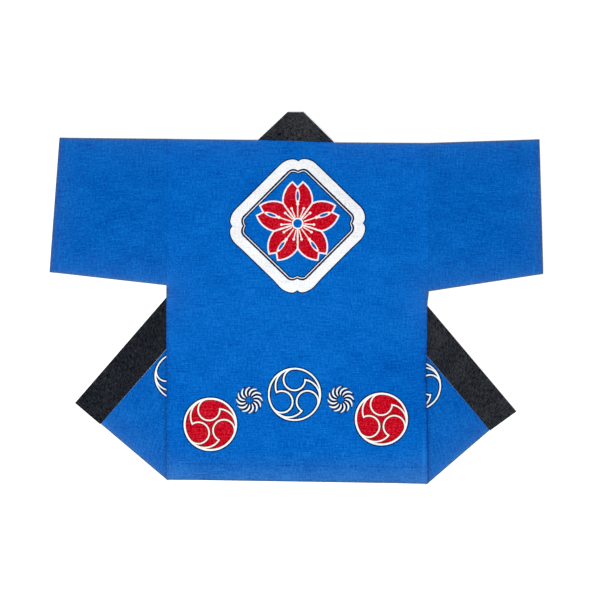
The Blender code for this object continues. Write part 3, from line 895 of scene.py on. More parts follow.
def diamond(x, y, fray):
    """The frame's coats of print, and the fields of its inner and outer edge.

    The plane is folded to one corner, whose round end has its middle at the lobe, so that two lobes and a
    notch come out of it; past 45 degrees it is the straight side.
    """
    wide, high = abs(x - y * FRAME_LEAN[0]), abs(y - x * FRAME_LEAN[1]) * FRAME_SQUEEZE
    out = higher(wide, high) - (FRAME_REACH - FRAME_ROUND)
    side = lower(wide, high) - FRAME_LOBE
    straight = above(side - out, 0.0)
    dip = lower(side, 0.0)
    lobe = distance(higher(out, 0.0), higher(side, 0.0)) + lower(out, 0.0)
    corner = lobe + dip * dip * (out * NOTCH_DIP[1] + NOTCH_DIP[0])
    inner = pick([corner, (out + side) * math.sqrt(0.5)], [straight]) - FRAME_ROUND + fray
    heavy = held_in(1 - side * (1 / FRAME_HEAVY_REACH))
    outer = inner + (y * FRAME_HEAVY[1] - FRAME_HEAVY[0]) * heavy
    coats = [(filled(outer - limit), colour) for limit, colour in OUTER_LINES]
    coats += [(filled(inner - limit), colour) for limit, colour in INNER_LINES]
    return coats, inner, outer


def blossom(x, y, fray):
    """The blossom's coats of print, and what is left bare in it. The plane is folded to half a petal."""
    half_turn = math.pi / PETALS
    turn = folded(x.math("ARCTAN2", y), PETALS)
    reach = distance(x, y)
    along, across = reach * cosine(turn), abs(reach * sine(turn))
    lens = distance(along - PETAL_MIDDLE, across + PETAL_NARROW) - PETAL_ROUND
    notch = (along - across - PETAL_NOTCH) * math.sqrt(0.5)
    gap = across * math.cos(half_turn) - along * math.sin(half_turn) + PETAL_GAP
    petal = higher(higher(lens, notch), gap) + fray
    middle, half_length, half_width = VEIN
    vein = (distance((along - middle) / half_length, across / half_width) - 1) * half_width
    lines = lower(abs(vein - 1.0) - 1.0, abs(reach - EYE - EYE_LINE / 2) - EYE_LINE / 2)
    for stamen in STAMENS:
        slant = math.radians(stamen.degrees)
        forward = along * math.cos(slant) + across * math.sin(slant)
        aside = abs(across * math.cos(slant) - along * math.sin(slant))
        stem = higher(aside - STAMEN_WIDTH, abs(forward - stamen.middle) - stamen.half)
        lines = lower(lines, lower(stem, distance(forward - stamen.tip, aside) - stamen.dot))
    bare = filled(lower(vein, reach - EYE) + fray)
    coats = [
        (filled(petal - PETAL_LINE), WHITE),
        (filled(petal), worn_red(fray)),
        (filled(lines), CREAM),
    ]
    return coats, bare


def crest_print(x, y, fray):
    """The diamond frame and the blossom in it: coats of print, and how much of the cloth they cover."""
    x, y = x - CREST[0], y - CREST[1]
    coats, inner, outer = diamond(x, y, fray)
    petals, bare = blossom(x, y - BLOSSOM_RAISED, fray)
    inside = filled(inner - FRAME_INSIDE)
    cover = filled(outer - OUTER_LINES[0][0]) * (1 - inside * (1 - petals[0][0] * (1 - bare)))
    return coats + petals, cover


def roundel(x, y, fray, turn, red):
    """A ring round three commas, in coats of print, and how much of the cloth they cover.

    A comma is a round head joined to the crescent between the ring and the tail's circle. The plane is
    folded to one comma, and the tail of the one before it is found a third of a turn further round.
    """
    reach = distance(x, y)
    third = 2 * math.pi / COMMAS
    round_angle = folded(x.math("ARCTAN2", y) - turn, COMMAS)
    tail_x, tail_y = TAIL_PLACE * math.sin(TAIL_TURN), TAIL_PLACE * math.cos(TAIL_TURN)
    past = TAIL_TURN + math.pi / 2
    comma = None
    for behind in (0.0, third):
        across, along = reach * sine(round_angle + behind), reach * cosine(round_angle + behind)
        crescent = higher(reach - RING, TAIL - distance(across - tail_x, along - tail_y))
        if comma is None:
            head = distance(across, along - HEAD_PLACE) - HEAD
            comma = lower(head, higher(crescent, -across))
        else:
            end = across * math.sin(past) + along * math.cos(past)
            comma = lower(comma, higher(crescent, end))
    ring_half = (red * (RED_RING_LINE - RING_LINE) + RING_LINE) / 2
    white = lower(abs(comma) - LINE / 2, abs(reach - RING) - ring_half) + fray
    fill = filled(reach - RING) * red
    warm = filled(reach - RING + RED_OVER) * red
    edge = filled(white - OUTLINE + warm * (OUTLINE - THIN_OUTLINE))
    coats = [
        (fill, worn_red(fray)),
        (edge, blend(fill, NAVY, DARK_RED)),
        (filled(white), blend(warm, ICE, CREAM)),
    ]
    return coats, higher(edge, fill)


def rosette(x, y, fray, start):
    """Blunt blades, widening outwards and bent: a blade's line sweeps on as it runs out to its tip."""
    reach = distance(x, y)
    share = (reach - ROSETTE_HOLE) / (ROSETTE_REACH - ROSETTE_HOLE)
    swept = higher(share, 0.0).math("POWER", BLADE_BEND) * math.radians(BLADE_SWEEP)
    turn = folded(x.math("ARCTAN2", y) - swept - start, BLADES)
    half = share * BLADE_WIDTH[1] + BLADE_WIDTH[0]
    run = (share - 0.5) * 2
    blade = (distance(run * run, reach * turn / half) - 1) * BLADE_EDGE + fray
    line = distance(run * run * BLADE_LINE_REACH, reach * turn / (half + BLADE_LINE)) - 1
    edge = filled(line * BLADE_EDGE)
    return [(edge, NAVY), (filled(blade), ICE)], edge


def chosen_of(prints, fields, gates):
    """These fields of the print that a place belongs to: the first one, or the next past each open gate."""
    return [pick([getattr(one, field) for one in prints], gates) for field in fields]


def border_print(x, y, fray):
    """The row above the hem: three roundels and the two rosettes between them."""
    gates = [above(x, (one.x + other.x) / 2) for one, other in zip(BORDER_ROUNDELS, BORDER_ROUNDELS[1:])]
    centre_x, centre_y, turn, red, scale = chosen_of(BORDER_ROUNDELS, Roundel._fields, gates)
    from_x, from_y = (x - centre_x) / scale, (y - centre_y) / scale
    coats, cover = roundel(from_x, from_y, fray, turn * math.radians(1), red)
    centre_x, centre_y, start = chosen_of(ROSETTES, Rosette._fields, [above(x, BORDER_ROUNDELS[1].x)])
    more, more_cover = rosette(x - centre_x, y - centre_y, fray, start * math.radians(1))
    return coats + more, higher(cover, more_cover)


def flap_print(x, y, fray):
    """One roundel on each of the turned-out fronts."""
    centre_x, centre_y, turn, scale = chosen_of(FLAP_ROUNDELS, ("x", "y", "turn", "scale"), [above(x, 0.0)])
    return roundel((x - centre_x) / scale, (y - centre_y) / scale, fray, turn * math.radians(1), 0.0)


# ---- materials ----
def new_finish(name, specular, sheen, sheen_tint):
    """A material with the constant values of its shader, and the tree to build the rest in."""
    material = bpy.data.materials.new(name)
    material.use_nodes = True
    shader = material.node_tree.nodes["Principled BSDF"]
    shader.inputs["Specular IOR Level"].default_value = specular
    shader.inputs["Sheen Weight"].default_value = sheen
    shader.inputs["Sheen Roughness"].default_value = 0.5
    shader.inputs["Sheen Tint"].default_value = sheen_tint
    return material, material.node_tree, shader


def toned(colour, shade, pale=PALER):
    """A colour made paler by a positive shade and deeper by a negative one: a thread that took less dye
    gains something in every channel, on top of what it gains by being brighter."""
    constant = colour if isinstance(colour, Value) else colour[:3]
    scaled = shade.vector("SCALE", {0: constant, "Scale": shade + 1.0})
    paler = shade.vector("SCALE", {0: pale, "Scale": shade})
    return shade.vector("MAXIMUM", {0: shade.vector("ADD", {0: scaled, 1: paler}), 1: DARKEST})


def surface(tree, shader, colour, roughness, height):
    """Links what varies over a surface; height is in mm."""
    bump = height.node("ShaderNodeBump", {}, {"Strength": 1.0, "Distance": 0.001, "Height": height})
    for name, value in (("Base Color", colour), ("Roughness", roughness), ("Normal", bump)):
        tree.links.new(value.socket, shader.inputs[name])


def thread_places(tree):
    return in_mm(add_node(tree, "ShaderNodeUVMap", {"uv_map": "threads"}, {}))


def object_places(tree):
    return in_mm(add_node(tree, "ShaderNodeTexCoord", {}, {}, output="Object"))


def outline_attribute(tree):
    """How far inside the outline of the laid coat, in mm."""
    settings = {"attribute_name": "from_outline"}
    return add_node(tree, "ShaderNodeAttribute", settings, {}, output="Fac") * 1000.0


def from_edge(tree, reach):
    """1 on the outline of the laid coat, dying away inwards over this many mm."""
    return dying(outline_attribute(tree), reach)


# Mask of the shade painted beside the back's side seams.
def seam_shade_mask(x, y):
    """1 at the side seams of the back, dying away to both sides of them and towards the armpits."""
    waist, chest = (bell((y + below) * (1 / spread)) * most for below, spread, most in SIDE_BOWS)
    bow = waist + chest
    from_middle = abs(x - (y + SIDE_FOOT) * SIDE_LEAN - SIDE_MIDDLE + bow)
    beside = abs(from_middle - (y + SIDE_FOOT) * SIDE_WIDENING - SIDE_HALF + bow)
    return dying(beside, SIDE_REACH) * held_in((SIDE_TOP - y) * (1 / SIDE_TOP_FADE))


def cotton(name, colour, prints=None, seam_shade_painted=False, hem_shown=False, cuff=False):
    """Matte dyed cotton: a plain weave with slubs, clouds where the dye took unevenly, and a print on it.

    Threads cross in pillows. Slubs are noise drawn out along the weft and along the warp, with finer grain
    between them. A glow of light is painted along the outline of the coat, stronger towards the bottom, and
    a broad pool of light over the middle of the back, with a narrow highlight over the hem by the right side
    seam;
    the very rim is painted darker and greyer as shade, and so is the cloth beside the back's side seams
    where asked.
    """
    material, tree, shader = new_finish(name, specular=0.008, sheen=0.006, sheen_tint=srgb(120, 160, 235))
    threads, places = thread_places(tree), object_places(tree)
    weft, warp = parts_of(threads)
    x, y = parts_of(places)
    step = math.pi / THREAD_PITCH
    over = sine(weft * step) * sine(warp * step)
    slubs = noise(threads, *WEFT_SLUB) * WEFT_WEIGHT + noise(threads, *WARP_SLUB) - (WEFT_WEIGHT + 1) / 2
    grain = noise(threads, *GRAIN) - 0.5
    clouds = noise(places, *CLOUD) - 0.5
    shade = slubs * SLUB_SHADE + grain * GRAIN_SHADE + clouds * CLOUD_SHADE
    shade = shade + over * PILLOW_SHADE - SHADE_BACK
    inward = outline_attribute(tree)
    # painted patches: a pool of light over the middle, a darker patch, and a highlight over the hem
    for fade in LIGHT_AND_TONE_PATCHES:
        off = distance((x - fade.x) / fade.wide, (y - fade.y) / fade.high)
        shade = shade + bell(off) * fade.amount
    if cuff:
        shade = shade - held_in(1.5 - weft * (1 / CUFF_DEPTH / 1000)) * CUFF_DEEPER
    cloth = colour
    if seam_shade_painted:
        # painted shade beside the back's side seams, darker and greyer
        seam_shade = seam_shade_mask(x, y)
        shade = shade - seam_shade * SIDE_SHADE_DEPTH
        cloth = blend(seam_shade * SIDE_SHADE_GREY, cloth, SHADE_GREY_BLUE)
    if hem_shown:
        from_hem = y + x * HEM_LEAN + HEM_LINE
        inset, width, darkness = HEM_MARK
        shade = shade - held_in(1 - abs(from_hem - HEM_DEPTH * 1000 + inset) * (1 / width)) * darkness
        start, height, power = HEM_FADE
        near_hem = held_in((y + start) * (-1 / height)).math("POWER", power)
        cloth = blend(near_hem, cloth, HEM_BLUE)
        inward = lower(inward, from_hem)
    depth, roughness = shade, ROUGH - over * PILLOW_SMOOTH
    relief = over * PILLOW_HEIGHT + slubs * SLUB_HEIGHT
    if prints:
        coats, cover = prints(x, y, grain * FRAY * 2.0)
        cloth = blend(cover, cloth, painted(cloth, coats))
        depth = shade * (1 - cover * PRINT_HIDES)
        roughness = roughness - cover * PRINT_SMOOTH
        relief = relief * (1 - cover * PRINT_FILLS) + cover * PRINT_HEIGHT
    # painted shade: the very rim of the outline darker and greyer
    cloth = blend(dying(inward * inward, RIM_SHADE_SPREAD) * RIM_SHADE, cloth, SHADE_GREY_BLUE)
    # painted light: a pale glow along the outline of the coat, stronger towards the bottom
    strength, less = EDGE_GLOW_RISE
    edge_glow = from_edge(tree, EDGE_GLOW_REACH) * (strength - y * less) * EDGE_GLOW
    painted_glow = from_edge(tree, RIM_GLOW_REACH) * RIM_GLOW + edge_glow
    pale = painted_glow.vector("SCALE", {0: GLOW_TINT, "Scale": painted_glow})
    surface(tree, shader, pale.vector("ADD", {0: toned(cloth, depth), 1: pale}), roughness, relief)
    return material


def ribbed_cotton(name, colour):
    """The collar band's stout black cotton: fine ribs across it, slubs, and a dusty bloom on the ribs."""
    material, tree, shader = new_finish(name, specular=0.05, sheen=0.03, sheen_tint=srgb(170, 176, 190))
    threads, places = thread_places(tree), object_places(tree)
    along, across = parts_of(threads)
    ribs = sine(along * (2 * math.pi / RIB_PITCH)) * 0.5 + 0.5
    fine = sine(across * (math.pi / RIB_THREADS[0])) * sine(along * (math.pi / RIB_THREADS[1]))
    slubs = noise(threads, *BAND_SLUBS[0]) + noise(threads, *BAND_SLUBS[1]) - 1.0
    clouds = noise(places, *BAND_CLOUD) - 0.5
    shade = slubs * BAND_SLUB_SHADE + clouds * BAND_CLOUD_SHADE + ribs * RIB_SHADE - BAND_SHADE_BACK
    x, y = parts_of(places)
    # painted sheen: the band is paler towards the neck and towards the right, mottled by the clouds
    at_neck = (y - NECK_SHEEN[0]) * (1 / NECK_SHEEN[1])
    sheen_and_mottle = held_in(higher(at_neck, x * (1 / RIGHT_SHEEN[0]) + RIGHT_SHEEN[1]) + clouds)
    roughness = BAND_ROUGH - ribs * RIB_SMOOTH
    relief = ribs * RIB_HEIGHT + fine * RIB_THREAD_HEIGHT + slubs * BAND_SLUB_HEIGHT
    surface(tree, shader, toned(blend(sheen_and_mottle, colour, SHEEN_BLACK), shade, PALE_BLACK), roughness, relief)
    return material


def thread_finish(name, colour, pale):
    """Sewing thread: two plies whose twist shows as slanting light and dark."""
    material, tree, shader = new_finish(name, specular=0.3, sheen=0.05, sheen_tint=PURE_WHITE)
    x, y = parts_of(object_places(tree))
    ply = sine((x + y) * (2 * math.pi / PLY_PITCH)) * 0.5 + 0.5
    surface(tree, shader, toned(colour, ply * 0.5 - 0.25, pale), 0.62 - ply * 0.1, ply * 0.05)
    return material


def floor_finish():
    """Pale matte board with a very slight mottle, lit a little from below, as on a light table."""
    material, tree, shader = new_finish("pale_board", specular=0.2, sheen=0.0, sheen_tint=PURE_WHITE)
    shader.inputs["Emission Color"].default_value = PURE_WHITE
    shader.inputs["Emission Strength"].default_value = BOARD_GLOW
    places = object_places(tree)
    mottle = noise(places, *BOARD_CLOUD) - 0.5
    surface(tree, shader, toned(BOARD_WHITE, mottle * 0.01), 0.75 + mottle * 0.1, mottle * 0.05)
    return material


# ---- pieces ----
def back_underside(places):
    """Height of the back's underside: whichever side of the coat lifts it more."""
    return np.maximum(*(lay.under_back(places * (lay.sign, 1)) for lay in sides.values()))


def world_corner(lay, name):
    return getattr(lay, name) * (lay.sign, 1)


hem_left, hem_right = world_corner(left, "hem"), world_corner(right, "hem")


def back_height(places):
    """Height of the middle of the back, and its thickness, at places seen from above."""
    from_hem = beyond(places, hem_left, hem_right, right.shoulder)
    thickness = hem_thickness(from_hem, HEM_DEPTH)
    from_edges = [from_hem]
    bends = 0.0
    for lay in sides.values():
        out = places * (lay.sign, 1)
        on_side = out[..., 0] > 0
        bends = bends + np.where(on_side, lay.seam_bend(out, thickness) + lay.armhole_dip(out), 0.0)
        from_edges.append(lay.inside_side(out))
        from_edges.append(-beyond(out, lay.shoulder, lay.shoulder_end, 2 * lay.shoulder))
    x, y = places[..., 0], places[..., 1]
    soft = ease(np.minimum.reduce(from_edges) / SWELL_EDGE)
    rise = SWELL * swell(x, y, SEEDS["back"]) * soft + ridges(x, y, BACK_RIDGES) * soft
    rise = rise + BACK_LOFT * fullness(np.minimum.reduce(from_edges[1:])) * ease(from_hem / SWELL_EDGE)
    rise = rise + pucker(from_hem - HEM_DEPTH, x, 0.0) * ease(from_hem / HEM_EASE)
    return back_underside(places) + thickness / 2 - bends + rise, thickness


def row_at(middle, thickness, distances, inset, ring=False, side=1):
    """A line on a skin of a grid of cloth, at a distance between its rows, and the skin's normals there.
    side is 1 for the skin that the normals point out of, and -1 for the other one."""
    normals = normals_of(middle, ring)
    skin = middle + side * normals * (thickness / 2)[..., None]
    place = np.interp(inset, distances, np.arange(len(distances)))
    row, share = int(place), place - int(place)
    line, up = (values[row] * (1 - share) + values[row + 1] * share for values in (skin, side * normals))
    if ring:
        return np.concatenate([line, line[:1]]), np.concatenate([up, up[:1]])
    return line[LINE_TRIM:-LINE_TRIM], up[LINE_TRIM:-LINE_TRIM]


def back_grid():
    """Places of the back seen from above, in rows from hem to shoulder and columns from side to side; the
    rows' distances from the hem; and the back's width and height.

    A row's ends are on the side seams, which may bow, or on the armholes. A column's ends are on the hem and
    on the shoulders or the neck. Each round puts x between a row's ends, and then y between a column's.
    """
    corners = ((left, "shoulder"), (left, "neck"), (right, "neck"), (right, "shoulder"))
    top_line = np.array([world_corner(lay, name) for lay, name in corners]).T
    gap = np.array([SEAM / 2, 0.0])
    side_lines = []
    for lay in (left, right):
        chain = [*lay.side_seam(), lay.armpit - gap + (0, EDGE_FADE), lay.shoulder - gap]
        side_lines.append(np.array(chain) * (lay.sign, 1))
    wide = right.hem[0] + left.hem[0]
    high = right.shoulder[1] - right.hem[1]
    across = marks(wide, STEP, (0.0, *AT_SEAM), (wide, *AT_SEAM)) / wide
    hem_step = HEM_DEPTH + HEM_STEP / 2
    distances = marks(high, STEP, (0.0, *AT_HEM), (hem_step, *AT_HEM_STEP), (high, *AT_SEAM))
    up = distances[:, None] / high
    y = hem_right[1] + up * high + 0 * across
    for _ in range(3):
        starts, ends = (np.interp(y, line[:, 1], line[:, 0]) for line in side_lines)
        x = starts + across * (ends - starts)
        foot = np.interp(x, [hem_left[0], hem_right[0]], [hem_left[1], hem_right[1]])
        y = foot + up * (np.interp(x, *top_line) - foot)
    return np.stack([x, y], axis=-1), distances, (wide, high)


def back_slots(places):
    """The material of each quad of the back: plain, with the crest or with the border."""
    centre = (places[:-1, :-1] + places[1:, 1:]) / 2 * 1000
    from_crest = np.abs(centre - CREST).max(axis=-1)
    rows = np.array([one.y for one in BORDER_ROUNDELS])
    half_width, past = BORDER_SLOT
    in_border = (centre[..., 1] > rows.min() - past) & (centre[..., 1] < rows.max() + past)
    in_border &= np.abs(centre[..., 0]) < half_width
    return np.where(in_border, 2, np.where(from_crest < CREST_SLOT, 1, 0))


def make_back(materials, thread):
    """The back, with the stitches of its hem."""
    places, distances, (wide, high) = back_grid()
    heights, thickness = back_height(places)
    middle = np.concatenate([places, heights[..., None]], axis=-1)
    slots = back_slots(places)
    middle, thickness, places, slots = (values[:, ::-1] for values in (middle, thickness, places, slots))
    piece = shell("back_panel", middle, thickness, places, materials, EDGE_ROUND, slots)
    hem_line = row_at(middle, thickness, distances, HEM_DEPTH - STITCH_INSET)
    sewn = stitches("back_hem_stitches", [hem_line], thread)
    flat = (wide, high + BACK_SPARE)
    declare(piece, sewn, middle, flat, "back")


def declare(piece, sewn, middle, flat, node, ring=False):
    """Hangs a piece of cloth and its stitches under the root body and hides the imported part they stand
    for. The area of the cut is worked out from its size and its mesh, but not used.
    """
    for part in (piece, sewn):
        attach(part, "root")
        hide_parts(node)
    area = min(area_of(middle, ring), flat[0] * flat[1])


def front_seam(lay):
    """The line of a front's collar seam."""
    gap = SEAM / 2
    return [
        moved(lay.seam_foot, lay.turn_seam, gap, lay.hem)[0],
        moved(lay.seam_foot, lay.turn_seam, gap + SEAM_EASE, lay.hem)[1],
    ]


def front_surface(lay, cut):
    """The middle of a front and its thickness, at places on its cut in the crease's coordinates."""
    crease = lay.crease
    hem_line = crease.cut(lay.hem, -1), crease.cut(lay.seam_foot, -1)
    from_hem = beyond(cut, *hem_line, crease.cut(lay.shoulder, 1))
    thickness = hem_thickness(from_hem, HEM_DEPTH)
    laid, up = crease.lay(cut)
    upper_layer = cut[..., 1] >= crease.HALF
    heights = np.where(upper_layer, lay.under_front(laid) + lay.seam_bend(laid, thickness), up * FOLD_RISE)
    x, y = laid[..., 0] * lay.sign, laid[..., 1]
    inward = np.minimum(from_hem, -cut[..., 1] - HEM_EASE)
    soft = ease(np.minimum(inward, beyond(laid, *front_seam(lay), lay.hem)) / FRONT_EASE)
    rise = SWELL * swell(x, y, SEEDS["front"] + lay.sign) * soft
    rise = rise + pucker(from_hem - HEM_DEPTH, laid[..., 0], 1.0) * soft
    heights = heights + thickness / 2 + np.where(cut[..., 1] < 0, rise, 0.0)
    return lay.world(laid, heights), thickness


def front_edges(lay):
    """The two edges of a front's cut in the crease's coordinates, both from the corner at the collar's foot
    to the shoulder: by the hem and the side seam, and by the collar's seam and the neck."""
    crease = lay.crease
    armhole_gap = np.array([SEAM / 2, 0.0])
    neck_edge = [lay.shoulder_end, moved(lay.neck, lay.turn_seam, SEAM / 2 + SEAM_EASE, lay.shoulder)[1]]
    seam_edge = front_seam(lay)
    foot = crease.cut(crossing(*seam_edge, lay.hem, lay.seam_foot), -1)
    shoulder = crease.cut(lay.shoulder - armhole_gap, 1)
    side_seam = [crease.cut(place, 1) for place in lay.side_seam()[:-1]]
    armpit = crease.cut(lay.armpit - armhole_gap, 1)
    hem_side = np.array([foot, crease.cut(lay.hem, -1), *side_seam, armpit, shoulder])
    seam_side = np.array([
        foot,
        crease.cut(crossing(*seam_edge, *lay.roll_line), -1),
        crease.cut(crossing(*neck_edge, *lay.roll_line), 1),
        crease.cut(lay.shoulder_end, 1),
        shoulder,
    ])
    return hem_side, seam_side


def front_hem_lines(lay, hem_side):
    """The stitched lines of a front's hem, with normals: on top of the turned-out part, and on the underside
    of the part under the back."""
    crease = lay.crease
    foot, corner, shoulder = hem_side[0], hem_side[1], hem_side[-1]
    inset = (corner - foot)[::-1] * (1, -1) / np.linalg.norm(corner - foot)
    inset = inset * np.sign(inset @ (shoulder - foot)) * (HEM_DEPTH - STITCH_INSET)
    flat_end = crease.cut(lay.hem, 1)[1] - LINE_ENDS[1]
    lines = []
    for first, last, skin in ((foot[1] - LINE_ENDS[0], -crease.HALF, 1), (crease.HALF, flat_end, -1)):
        rows = np.linspace(first, last, LINE_POINTS)
        along = np.interp(rows, hem_side[:, 1], hem_side[:, 0])
        line = np.stack([along, rows], axis=-1) + inset
        if skin > 0:
            from_seam = beyond(crease.lay(line)[0], *front_seam(lay), lay.hem)
            line = line[(line[:, 1] < -crease.HALF) & (from_seam > SEAM_CLEAR)]
        else:
            line = line[line[:, 1] > crease.HALF]
        points, depth = front_surface(lay, line)
        up = np.array([0.0, 0.0, float(skin)])
        lines.append((points + depth[:, None] / 2 * up, up + 0 * points))
    return lines


def make_front(side_name, lay, materials, thread):
    """A front, with the stitches of its hem. Its rows are parallel to the crease, from the corner at the
    collar's foot to the shoulder; its columns run from the hem and side seam to the collar and neck."""
    hem_side, seam_side = front_edges(lay)
    half = lay.crease.HALF
    lowest, highest = hem_side[0, 1], hem_side[-1, 1]
    rows = np.concatenate([
        -half - marks(-half - lowest - BLUNT, FRONT_STEPS[0])[::-1],
        np.linspace(-half, half, ROLL_ROWS)[1:-1],
        half + marks(highest - half - BLUNT, FRONT_STEPS[1]),
    ])
    share = marks(FRONT_WIDTH, STEP, (0.0, *AT_FRONT_HEM), (FRONT_WIDTH, *AT_HEM)) / FRONT_WIDTH
    starts, ends = (np.interp(rows, edge[:, 1], edge[:, 0])[:, None] for edge in (hem_side, seam_side))
    cut = np.stack([starts + share * (ends - starts), rows[:, None] + 0 * share], axis=-1)
    middle, thickness = front_surface(lay, cut)
    slots = np.where(rows[:-1, None] < -half, 0, 1) + 0 * share[None, 1:].astype(int)
    order = slice(None, None, -lay.sign)
    middle, thickness, threads, slots = (values[:, order] for values in (middle, thickness, cut, slots))
    piece = shell(f"front_panel_{side_name}", middle, thickness, threads, materials, FRONT_ROUND, slots)
    sewn = stitches(f"front_hem_stitches_{side_name}", front_hem_lines(lay, hem_side), thread)
    flat = (highest - lowest, np.ptp(hem_side[:, 0]) + FRONT_SPARE)
    declare(piece, sewn, middle, flat, f"front_{side_name}")


def sleeve_surface(lay, away):
    """The middle of a sleeve, its thickness and its cut, at distances from the cuff. A ring runs down the
    underarm fold, up the lower layer, over the shoulder fold and back down the upper layer."""
    radius = LAYER / 2
    turn = np.linspace(-math.pi / 2, math.pi / 2, TURN_COLUMNS)
    steps = np.linspace(0, 1, SLEEVE_COLUMNS)[1:-1]
    share = 1 - away / np.linalg.norm(lay.cuff_top - lay.shoulder)
    top = lay.shoulder + share * (lay.cuff_top - lay.shoulder)
    foot = lay.armpit + share * (lay.cuff_foot - lay.armpit)
    depth = np.linalg.norm(top - foot, axis=-1)[:, None]
    span = depth - 2 * radius
    flat_up, flat_down = radius + steps * span, radius + steps[::-1] * span
    round_foot, round_top = radius * (1 - np.cos(turn[::-1])), radius * (1 - np.cos(turn))
    from_foot = np.concatenate([round_foot + 0 * depth, flat_up, depth - round_top, flat_down], axis=1)
    level = radius * (1 + np.sin(turn))
    inside = np.minimum(steps, 1 - steps)[::-1] * span
    loft = SLEEVE_LOFT * ease(share / LOFT_REACH) * fullness(inside)
    above_lower = [level[::-1] + 0 * depth, 0 * flat_up, level + 0 * depth, LAYER + loft]
    above_lower = np.concatenate(above_lower, axis=1)
    places = foot[:, None] + (from_foot / depth)[..., None] * (top - foot)[:, None]
    thickness = hem_thickness(away, CUFF_DEPTH) + 0 * from_foot
    x, y = places[..., 0], places[..., 1]
    upper = above_lower / LAYER
    inward = np.minimum(np.minimum(from_foot, depth - from_foot), away)
    soft = ease(inward / SWELL_EDGE) * ease(upper * 4 - 3)
    uneven = swell(x, y, SEEDS["sleeve"] + lay.sign)
    rise = (SWELL * uneven + ridges(x * lay.sign, y, SLEEVE_RIDGES)) * soft
    rise = rise + pucker(away - CUFF_DEPTH, y, 2.0) * ease(upper * 4 - 3) - lay.armhole_dip(places) * upper
    middle = lay.world(places, lay.under_front(places) + above_lower + thickness / 2 + rise)
    around = np.linalg.norm(np.diff(middle, axis=1, append=middle[:, :1]), axis=-1)
    travelled = np.concatenate([np.zeros((len(away), 1)), np.cumsum(around, axis=1)], axis=1)
    return middle, thickness, np.stack([away + 0 * travelled, travelled], axis=-1)


def make_sleeve(side_name, lay, materials, thread):
    """A sleeve, with the stitches of its cuff: rings round a flattened tube, from cuff to armhole."""
    length = np.linalg.norm(lay.cuff_top - lay.shoulder)
    reach = length - SEAM
    at_step = (CUFF_DEPTH + HEM_STEP / 2, *AT_HEM_STEP)
    distances = marks(reach, SLEEVE_STEP, (0.0, *AT_CUFF), at_step, (reach, *AT_ARMHOLE))
    middle, thickness, threads = sleeve_surface(lay, distances[:, None])
    flat = (float(threads[:, -1, 1].max()), float(length))
    cuff = CUFF_DEPTH - STITCH_INSET
    cuff_line = row_at(middle, thickness, distances, cuff, ring=True, side=lay.sign)
    order = slice(None, None, int(lay.sign))
    middle, thickness, threads = (values[order] for values in (middle, thickness, threads))
    piece = shell(f"sleeve_{side_name}_cloth", middle, thickness, threads, materials, EDGE_ROUND, ring=True)
    sewn = stitches(f"cuff_stitches_{side_name}", [cuff_line], thread)
    declare(piece, sewn, middle, flat, f"sleeve_{side_name}", ring=True)


class BandCut:
    """The cut of one side's collar band, in the crease's coordinates. The turn at the neck is a second fold,
    whose own coordinates are turned and moved against these."""

    def __init__(self, lay):
        self.lay = lay
        crease, turn = lay.crease, lay.neck_turn
        self.start = crease.cut(lay.neck + (ROLL - turn.HALF) * turn.across, 1)
        self.along = np.array([turn.along @ crease.along, turn.along @ crease.across])
        self.across = np.array([turn.across @ crease.along, turn.across @ crease.across])

    def cut_neck(self, place):
        """Where a laid place of the back neck is on the cut."""
        lay, turn = self.lay, self.lay.neck_turn
        away = (place - lay.neck) @ turn.across - ROLL + turn.HALF
        return self.start + ((place - lay.neck) @ turn.along) * self.along - away * self.across

    def edge(self, neck_line, hidden, out, foot_line):
        """The corners of an edge on the cut, from the middle of the back neck to the foot: the laid lines it
        follows are the neck's, the one hidden under the coat, the turned-out one and the foot's."""
        lay = self.lay
        crease = lay.crease
        turn_line = moved(lay.neck, lay.collar_top, ROLL, lay.turn_seam)
        return np.array([
            self.cut_neck(neck_line[1]),
            self.cut_neck(crossing(*neck_line, *turn_line)),
            crease.cut(crossing(*hidden, *turn_line), 1),
            crease.cut(crossing(*hidden, *lay.roll_line), 1),
            crease.cut(crossing(*out, *lay.roll_line), -1),
            crease.cut(crossing(*out, *foot_line), -1),
        ])

    def surface(self, cut):
        """The middle of the band at places on the cut."""
        lay, crease, turn = self.lay, self.lay.crease, self.lay.neck_turn
        hidden, share = crease.lay(cut)
        hidden_height = np.where(cut[..., 1] >= crease.HALF, lay.under_front(hidden), share * FOLD_RISE)
        from_turn = cut - self.start
        from_turn = np.stack([from_turn @ self.along, -(from_turn @ self.across)], axis=-1)
        neck, neck_share = turn.lay(from_turn)
        on_neck = from_turn[..., 1] >= turn.HALF
        neck_height = np.where(on_neck, back_underside(neck * (lay.sign, 1)), neck_share * FOLD_RISE)
        past_turn = from_turn[..., 1] > -turn.HALF
        laid = np.where(past_turn[..., None], neck, hidden)
        return lay.world(laid, np.where(past_turn, neck_height, hidden_height) + BAND / 2)


